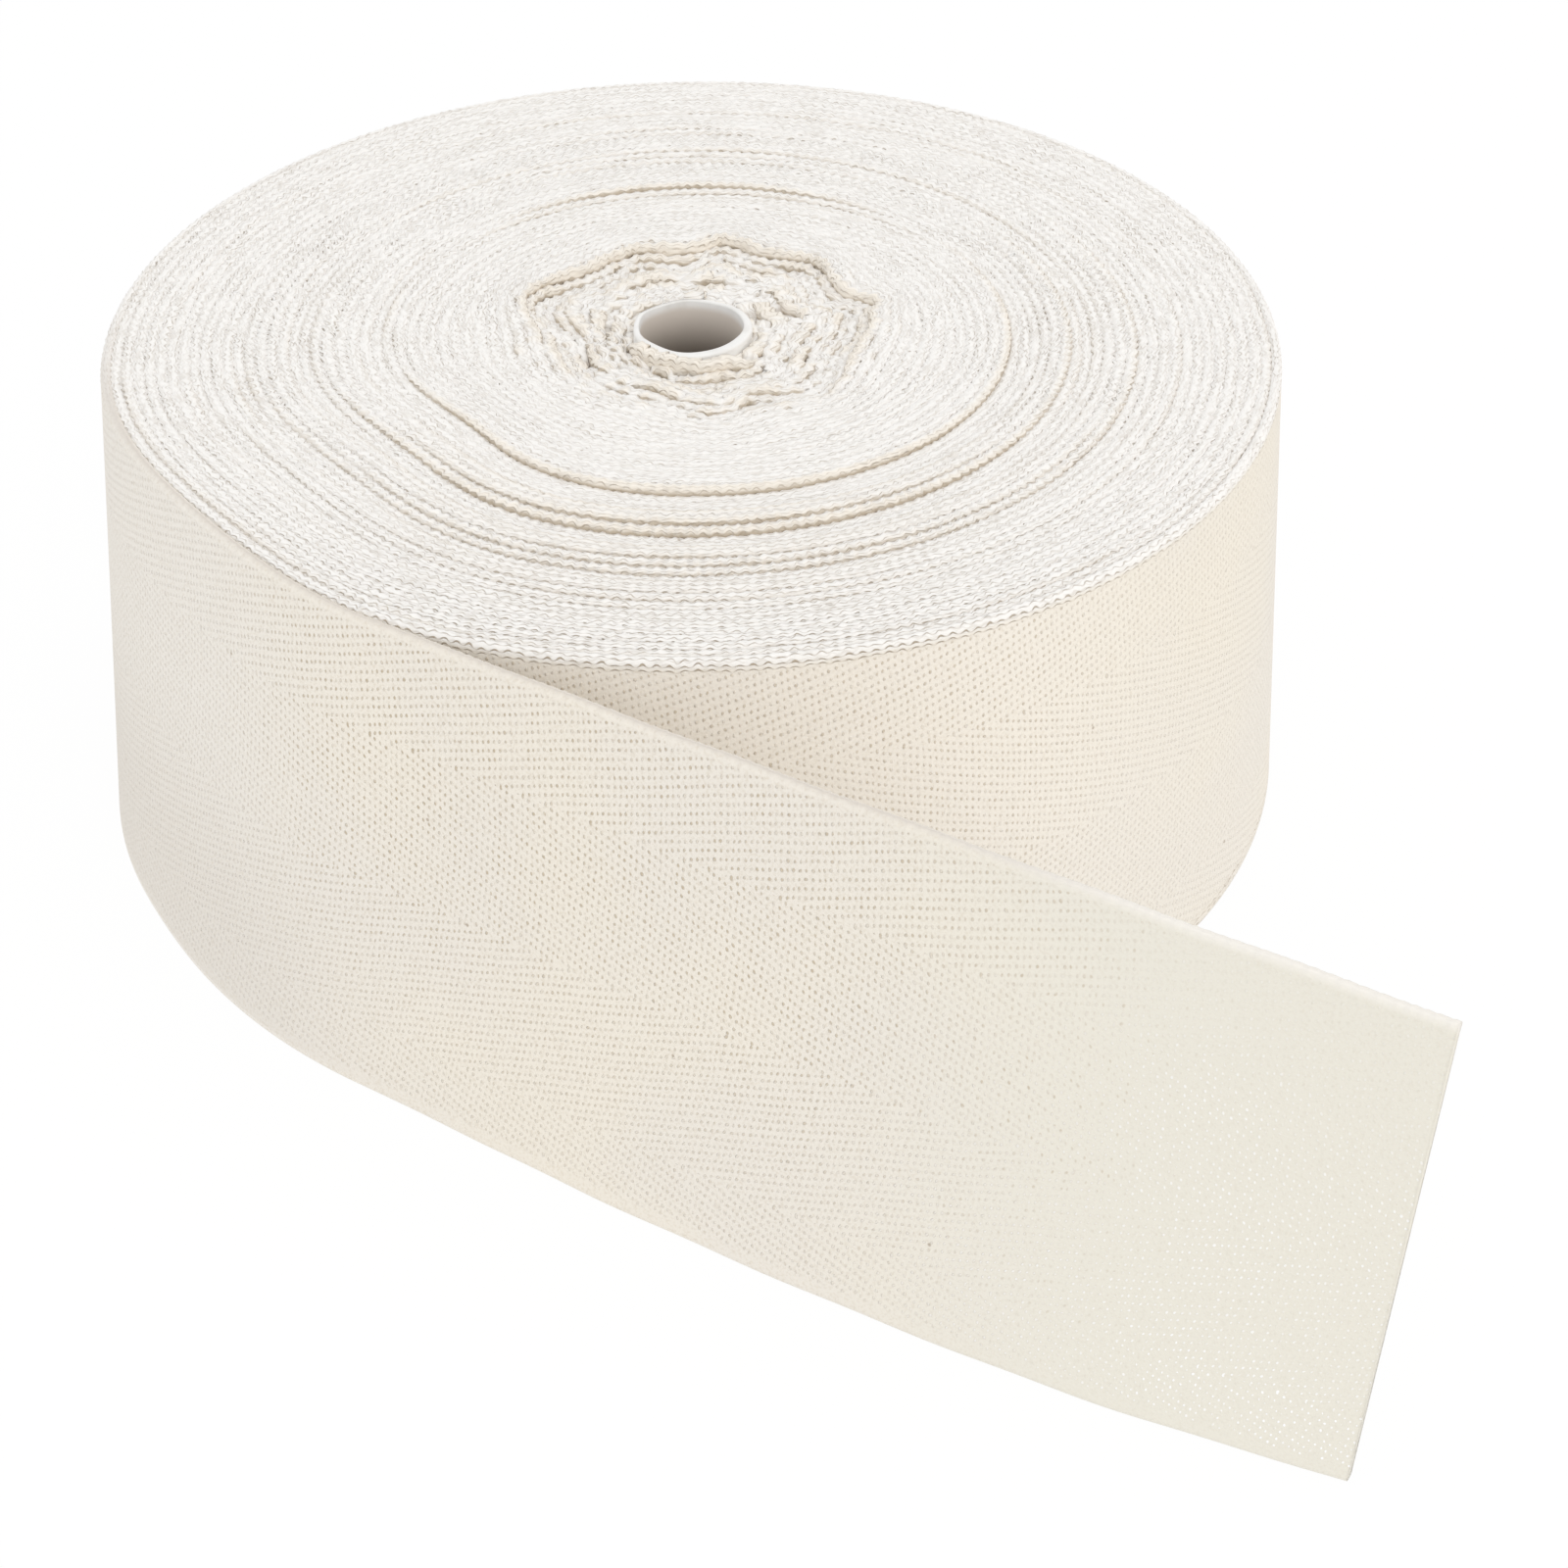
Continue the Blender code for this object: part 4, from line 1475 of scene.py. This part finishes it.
    def radius(self, turns: Array) -> Array:
        """Radius of the upper edge with its folds and its slight wander."""
        bulge = self.folds(turns)[1] + self.wander * self.unevenness(turns, 1)
        return np.maximum(self.form.upper_radius(turns) + bulge, self.tube_radius + self.least)

    def rim_level(self, turns: Array) -> Array:
        """Height of the upper edge with its folds and its small irregularities."""
        return self.form.level(turns) + self.uneven * self.unevenness(turns, 0) + self.folds(turns)[0]

    def standing(self, turns: Array, section: Section) -> Array:
        """How far the edge stands above the next turn, in millimetres, at each point of the section.

        Points on the outer flank look to the next turn outside and those on the inner flank to
        the next one inside. The crest takes half of the larger height.

        Args:
            turns: Turns inwards from the leaving point.
            section: The cross-section.

        Returns:
            (stations, ring) heights, below zero where the edge is sunk between both neighbours.
        """
        here = self.rim_level(turns)
        outside = here - self.rim_level(np.maximum(turns - 1.0, self.first_turn))
        inside = here - self.rim_level(np.minimum(turns + 1.0, self.form.all_turns))
        low, high = self.flank
        outer = smoothstep(high, low, section.across)[None, :] * outside[:, None]
        inner = smoothstep(low, high, section.across)[None, :] * inside[:, None]
        sunk = np.minimum(np.maximum(outside, inside), 0.0)[:, None]
        return (np.maximum(np.maximum(outer, inner), 0.0) + sunk) / MM

    def lively(self, turns: Array) -> Array:
        """How many times as far the loops sway: further in the crumpled and the braided turns.

        The loops next to the tube lie still.

        Args:
            turns: Turns inwards from the leaving point.

        Returns:
            One factor for each turn count.
        """
        nominal = self.form.nominal_radius(turns)
        crumpled = 1.0 - smoothstep(*self.sway_fade, nominal)
        lively = 1.0 + self.crumple_sway * crumpled
        for radius in self.braided:
            lively += self.braid_sway * np.exp(-(((nominal - radius) / self.braid_spread) ** 2))
        inmost = self.form.inmost_radius
        return lively * smoothstep(inmost, inmost + self.still, nominal)

    def thickness(self, turns: Array) -> Array:
        """Room that a turn fills, up to the next turn inside it or to the tube.

        Args:
            turns: Turns inwards from the leaving point.

        Returns:
            One thickness for each turn count.
        """
        inside = np.minimum(turns + 1.0, self.form.all_turns)
        room = self.form.upper_radius(turns) - self.form.upper_radius(inside)
        room = np.where(turns + 1.0 > self.form.all_turns, self.form.loose_pitch, room)
        crumpled = 1.0 - smoothstep(*self.fill_fade, self.form.nominal_radius(turns))
        share = self.fill + self.crumpled_fill * crumpled
        filled = share * np.clip(room, self.least, self.most)
        return np.minimum(filled, self.radius(turns) - self.tube_radius)

    def stations(self) -> tuple[Array, Array]:
        """Turn counts at even distances along the spiral, and those distances.

        The spiral is first measured on a fine even table of turns, then read back evenly.

        Returns:
            The turn counts, and the distances from the first one.
        """
        fine = np.arange(self.first_turn, self.form.all_turns, 1.0 / self.table_steps)
        path = self.plan(fine)
        steps = np.linalg.norm(np.diff(path, axis=0), axis=1)
        lengths = np.concatenate([[0.0], np.cumsum(steps)])
        even = np.arange(0.0, lengths[-1], self.spacing)
        return np.interp(even, lengths, fine), even

    def path(self, turns: Array, distance: Array) -> TapePath:
        """The upper edge and the foot of the spiral between two turn counts.

        The foot stands out by the lean and reaches the floor, or lies a little above it where
        the turn has been pushed up.

        Args:
            turns: Turns inwards from the leaving point.
            distance: Distances from the first one.

        Returns:
            The path.
        """
        radial = unit(self.form.azimuth(turns))
        radius = self.radius(turns)
        level = self.rim_level(turns)
        lean = self.form.lean(turns)
        tilted = self.form.thickness * lean / self.form.width
        foot_level = np.maximum(level - self.form.width, tilted + self.clearance)
        centre = np.array(self.form.axis)
        crest = np.column_stack([centre + radius[:, None] * radial, level])
        foot = np.column_stack([centre + (radius + lean)[:, None] * radial, foot_level])
        heading = normalised(-np.gradient(crest[:, :2], axis=0))
        inward = np.column_stack([-heading[:, 1], heading[:, 0]])
        start = -2.0 * np.pi * self.first_turn * self.form.rim_radius
        return TapePath(crest, foot, inward, start - distance)

    def build(self, finish: bpy.types.Material) -> None:
        """Builds the four strips, end to end.

        Args:
            finish: The cotton.
        """
        turns, distance = self.stations()
        whole = self.path(turns, distance)
        section = Section.of_turn(self.form.width)
        skin = whole.skin(section, self.edge, self.thickness(turns), self.lively(turns), full=False)
        chart = whole.chart(section)
        standing = self.standing(turns, section)
        ends = [*self.cuts[1:], math.inf]
        for number, (low, high) in enumerate(zip(self.cuts, ends), start=1):
            inside = np.flatnonzero((turns >= low) & (turns < high))
            span = slice(inside[0], min(inside[-1] + 2, len(turns)))
            name = f"wound_turns_{number}"
            mesh = tube_mesh(name, skin[span], chart[span])
            layer = mesh.attributes.new(STANDING, "FLOAT", "POINT")
            layer.data.foreach_set("value", standing[span].reshape(-1).astype(np.float32))
            piece = add_piece(name, mesh, finish)
            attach(piece, "root")
            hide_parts("wound_roll")


@dataclass
class OuterTurn:
    """The outermost turn of the tape and its loose end, one sheet in a single piece.

    The round foot is read a hair ahead, lifted degrees on, where the loose end doesn't hold it
    in. Within blend of the first lean, it gives way to the loose end's own lean.
    """

    form: RollForm
    edge: WovenEdge = WovenEdge(sway=0.05 * MM, rise=0.03 * MM, strand=0.02 * MM)
    spacing: float = 0.33 * MM
    rows: int = 20
    under_itself: float = 1.006
    lifted: float = 0.001
    blend: float = 10.0 * MM
    clearance: float = 0.02 * MM
    probe: float = 1e-4
    ripple: float = 0.06 * MM
    ripple_length: float = 17.0 * MM
    ripple_from: float = 20.0 * MM

    def rim(self, along: Array) -> tuple[Array, Array]:
        """Plan points of the upper edge about the roll's axis, and its unit heading.

        Up to the leaving point it follows the spiral, and from there it runs straight on.

        Args:
            along: Distances from the leaving point, below zero on the roll.

        Returns:
            (stations, 2) points and (stations, 2) unit vectors.
        """
        turns = self.form.rim_turns(along)
        here = self.form.rim_point(turns)
        heading = normalised(here - self.form.rim_point(turns + self.probe))
        return here + np.maximum(along, 0.0)[:, None] * heading, heading

    def path(self) -> TapePath:
        """The outermost turn from under itself to the cut.

        On the roll the foot follows the round foot, then the loose end's own lean. The cut
        leans back, so the foot falls behind the rim with the square of the distance.

        Returns:
            The path.
        """
        form = self.form
        start = -2.0 * np.pi * form.rim_radius * self.under_itself
        along = np.arange(start, LOOSE_LENGTH, self.spacing)
        along = np.append(along[:-1], LOOSE_LENGTH)
        rim, heading = self.rim(along)
        outward = np.column_stack([heading[:, 1], -heading[:, 0]])
        on_roll = form.circle_lean(form.azimuth(form.rim_turns(along)) + self.lifted)
        shared = smoothstep(LEANS[0].along - self.blend, LEANS[0].along + self.blend, along)
        lean = on_roll + shared * (form.loose_lean(along) - on_roll)
        off = np.maximum(along, 0.0)
        behind = form.cut_lean * (off / LOOSE_LENGTH) ** 2
        foot = rim + lean[:, None] * outward - behind[:, None] * heading
        low = form.thickness * lean / form.width + self.clearance
        high = low + np.sqrt(form.width**2 - lean**2)
        wave = self.ripple * np.sin(2.0 * np.pi * along / self.ripple_length)
        wave = wave * smoothstep(0.0, self.ripple_from, along)
        centre = np.array(form.axis)
        crest = np.column_stack([centre + rim, high + wave])
        base = np.column_stack([centre + foot, low])
        return TapePath(crest, base, -outward, along)

    def build(self, finish: bpy.types.Material) -> None:
        """Builds the sheet, which stands for the model's loose end.

        Args:
            finish: The cotton.
        """
        path = self.path()
        section = Section.of_sheet(self.form.width, self.rows)
        thickness = np.full(len(path.along), self.form.thickness)
        skin = path.skin(section, self.edge, thickness, np.ones_like(thickness), full=True)
        mesh = tube_mesh("outer_turn_and_loose_end", skin, path.chart(section))
        piece = add_piece("outer_turn_and_loose_end", mesh, finish)
        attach(piece, "root")
        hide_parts("loose_end")


@dataclass
class CoreTube:
    """The white tube that the tape is wound on, its cut rim a little uneven."""

    form: RollForm
    radius: float = 6.0 * MM
    wall: float = 0.75 * MM
    length: float = 50.4 * MM
    around: int = 144
    lip: float = 0.22 * MM
    dent: float = 0.09 * MM
    dents: tuple[Wave, ...] = (Wave(0.5, 3.0, 0.7), Wave(0.5, 7.0, 2.0))
    rise: float = 0.12 * MM
    rises: tuple[Wave, ...] = (Wave(0.6, 2.0, 1.1), Wave(0.4, 5.0, 0.0))
    uneven_from: float = 0.93
    bore_shift: Pair = (-0.15 * MM, 0.35 * MM)

    @property
    def bore_centre(self) -> Pair:
        """Centre of the bore in plan, a little off the axis."""
        return (self.form.axis[0] + self.bore_shift[0], self.form.axis[1] + self.bore_shift[1])

    def build(self, finish: bpy.types.Material) -> None:
        """Builds the tube: its wall's section carried round the axis.

        The section rises along the outer side, over the rounded rim and down the bore. The
        wall's radius varies on a few waves round the circle, less towards the foot, and the
        rim rises and falls on others.

        Args:
            finish: The white tube's finish.
        """
        inset = self.lip * np.array([0.0, 0.0, 0.0, 0.0, 0.3, 1.0])
        shares = np.array([0.0, 0.3, 0.8, 1.0, 1.0, 1.0])
        level = self.length * shares - self.lip * np.array([0.0, 0.0, 0.0, 1.0, 0.3, 0.0])
        outer = self.radius - inset
        inner = self.radius - self.wall + inset[::-1]
        across = np.concatenate([outer, inner])[None, :]
        up = np.concatenate([level, level[::-1]])[None, :]
        bore = np.concatenate([np.zeros_like(outer), np.ones_like(inner)])[None, :]
        angle = np.linspace(0.0, 2.0 * np.pi, self.around, endpoint=False)[:, None]
        upper = smoothstep(self.uneven_from * self.length, self.length, up)
        radius = across + self.dent * summed(self.dents, angle, 1.0) * upper
        x = self.form.axis[0] + radius * np.cos(angle) + self.bore_shift[0] * bore
        y = self.form.axis[1] + radius * np.sin(angle) + self.bore_shift[1] * bore
        z = up + self.rise * summed(self.rises, angle, 1.0) * upper
        mesh = self.turned(np.stack([x, y, z], axis=-1))
        piece = add_piece("core_tube_wall", mesh, finish)
        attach(piece, "root")
        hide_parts("core_tube")
        log.info("%s: %d triangles", piece.name, 2 * len(mesh.polygons))

    def turned(self, points: Array) -> bpy.types.Mesh:
        """A mesh closed both round the axis and round the wall.

        Args:
            points: (around, ring, 3) places.

        Returns:
            The mesh.
        """
        around, ring = points.shape[:2]
        here = np.arange(around)[:, None] * ring + np.arange(ring)[None, :]
        beyond = np.roll(here, -1, axis=0)
        corners = [here, beyond, np.roll(beyond, -1, axis=1), np.roll(here, -1, axis=1)]
        quads = np.stack(corners, axis=-1).reshape(-1, 4)
        mesh = bpy.data.meshes.new("core_tube_wall")
        mesh.from_pydata(points.reshape(-1, 3).tolist(), [], quads.tolist())
        mesh.shade_smooth()
        return mesh


# ---------------------------------------------------------------- studio


class Lamp(NamedTuple):
    """A square soft light: where it hangs, its side, its power in watts and its colour."""

    name: str
    place: tuple[float, float, float]
    size: float
    power: float
    colour: str


LAMPS = (
    Lamp("overhead_softbox", (0.05, 0.1, 0.9), 0.9, 0.5, "#FFFFFF"),
    Lamp("front_softbox", (0.1, -0.75, 0.8), 0.7, 1.7, "#FFFFFF"),
    Lamp("right_softbox", (0.82, -0.57, 0.5), 0.8, 1.15, "#FFF4E4"),
)


@dataclass
class Studio:
    """The floor, the soft light and the camera."""

    form: RollForm
    floor_size: float = 8.0
    floor_cells: int = 4
    lens: float = 76.5
    sensor: float = 36.0
    nearest: float = 10.0 * MM
    pitch_down: float = 36.823
    camera_from_axis: tuple[float, float, float] = (9.25 * MM, -296.35 * MM, 214.71 * MM)
    sky: float = 0.88
    sky_colour: str = "#FFFFFF"
    lit_level: float = 30.0 * MM

    def floor(self) -> None:
        """Adds a pale floor, a flat square grid centred on the origin."""
        row = self.floor_cells + 1
        side = np.linspace(-0.5, 0.5, row) * self.floor_size
        across, deep = np.meshgrid(side, side, indexing="ij")
        points = np.stack([across, deep, np.zeros_like(across)], axis=-1).reshape(-1, 3)
        low = (np.arange(row - 1)[:, None] * row + np.arange(row - 1)[None, :]).reshape(-1)
        quads = np.stack([low, low + row, low + row + 1, low + 1], axis=-1)
        mesh = bpy.data.meshes.new("pale_floor")
        mesh.from_pydata(points.tolist(), [], quads.tolist())
        made = add_piece("pale_floor", mesh, PaleFloorFinish(self.form.axis).build())

    def light(self, lamp: Lamp) -> None:
        """Adds one lamp, turned to face the roll.

        Args:
            lamp: Its place, size, power and colour.
        """
        data = bpy.data.lights.new(lamp.name, "AREA")
        data.size = lamp.size
        data.energy = lamp.power
        data.color = linear(lamp.colour)[:3]
        made = bpy.data.objects.new(lamp.name, data)
        bpy.context.scene.collection.objects.link(made)
        aim = np.array([*self.form.axis, self.lit_level]) - np.array(lamp.place)
        tilt = math.atan2(math.hypot(aim[0], aim[1]), -aim[2])
        made.location = lamp.place
        made.rotation_euler = (tilt, 0.0, math.atan2(aim[1], aim[0]) - math.pi / 2.0)

    def camera(self) -> None:
        """Adds the camera, square to +Y and pitched down, with no shift and everything in focus."""
        data = bpy.data.cameras.new("camera")
        data.lens = self.lens
        data.sensor_width = self.sensor
        data.clip_start = self.nearest
        made = bpy.data.objects.new("camera", data)
        bpy.context.scene.collection.objects.link(made)
        x, y, z = self.camera_from_axis
        made.location = (self.form.axis[0] + x, self.form.axis[1] + y, z)
        made.rotation_euler = (math.radians(90.0 - self.pitch_down), 0.0, 0.0)
        bpy.context.scene.camera = made

    def build(self) -> None:
        """Sets up the world, the floor, the lights and the camera."""
        scene = bpy.context.scene
        scene.world = bpy.data.worlds.new("white_studio")
        scene.world.use_nodes = True
        sky = scene.world.node_tree.nodes["Background"]
        sky.inputs["Color"].default_value = linear(self.sky_colour)
        sky.inputs["Strength"].default_value = self.sky
        scene.view_settings.view_transform = "Standard"
        scene.view_settings.look = "None"
        self.floor()
        for lamp in LAMPS:
            self.light(lamp)
        self.camera()
        log.info("studio: floor, %d softboxes, camera", len(LAMPS))


def main() -> None:
    """Builds the roll piece by piece, then the studio round it."""
    logging.basicConfig(level=logging.INFO, format="%(name)s: %(message)s")
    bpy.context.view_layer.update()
    low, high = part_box("core_tube")
    form = RollForm(axis=((low.x + high.x) / 2.0, (low.y + high.y) / 2.0))
    cotton = HerringboneCotton().build()
    tube = CoreTube(form)
    tube.build(WhiteTubeFinish(tube.bore_centre).build())
    WoundTurns(form).build(cotton)
    OuterTurn(form).build(cotton)
    Studio(form).build()


if __name__ == "__main__":
    main()
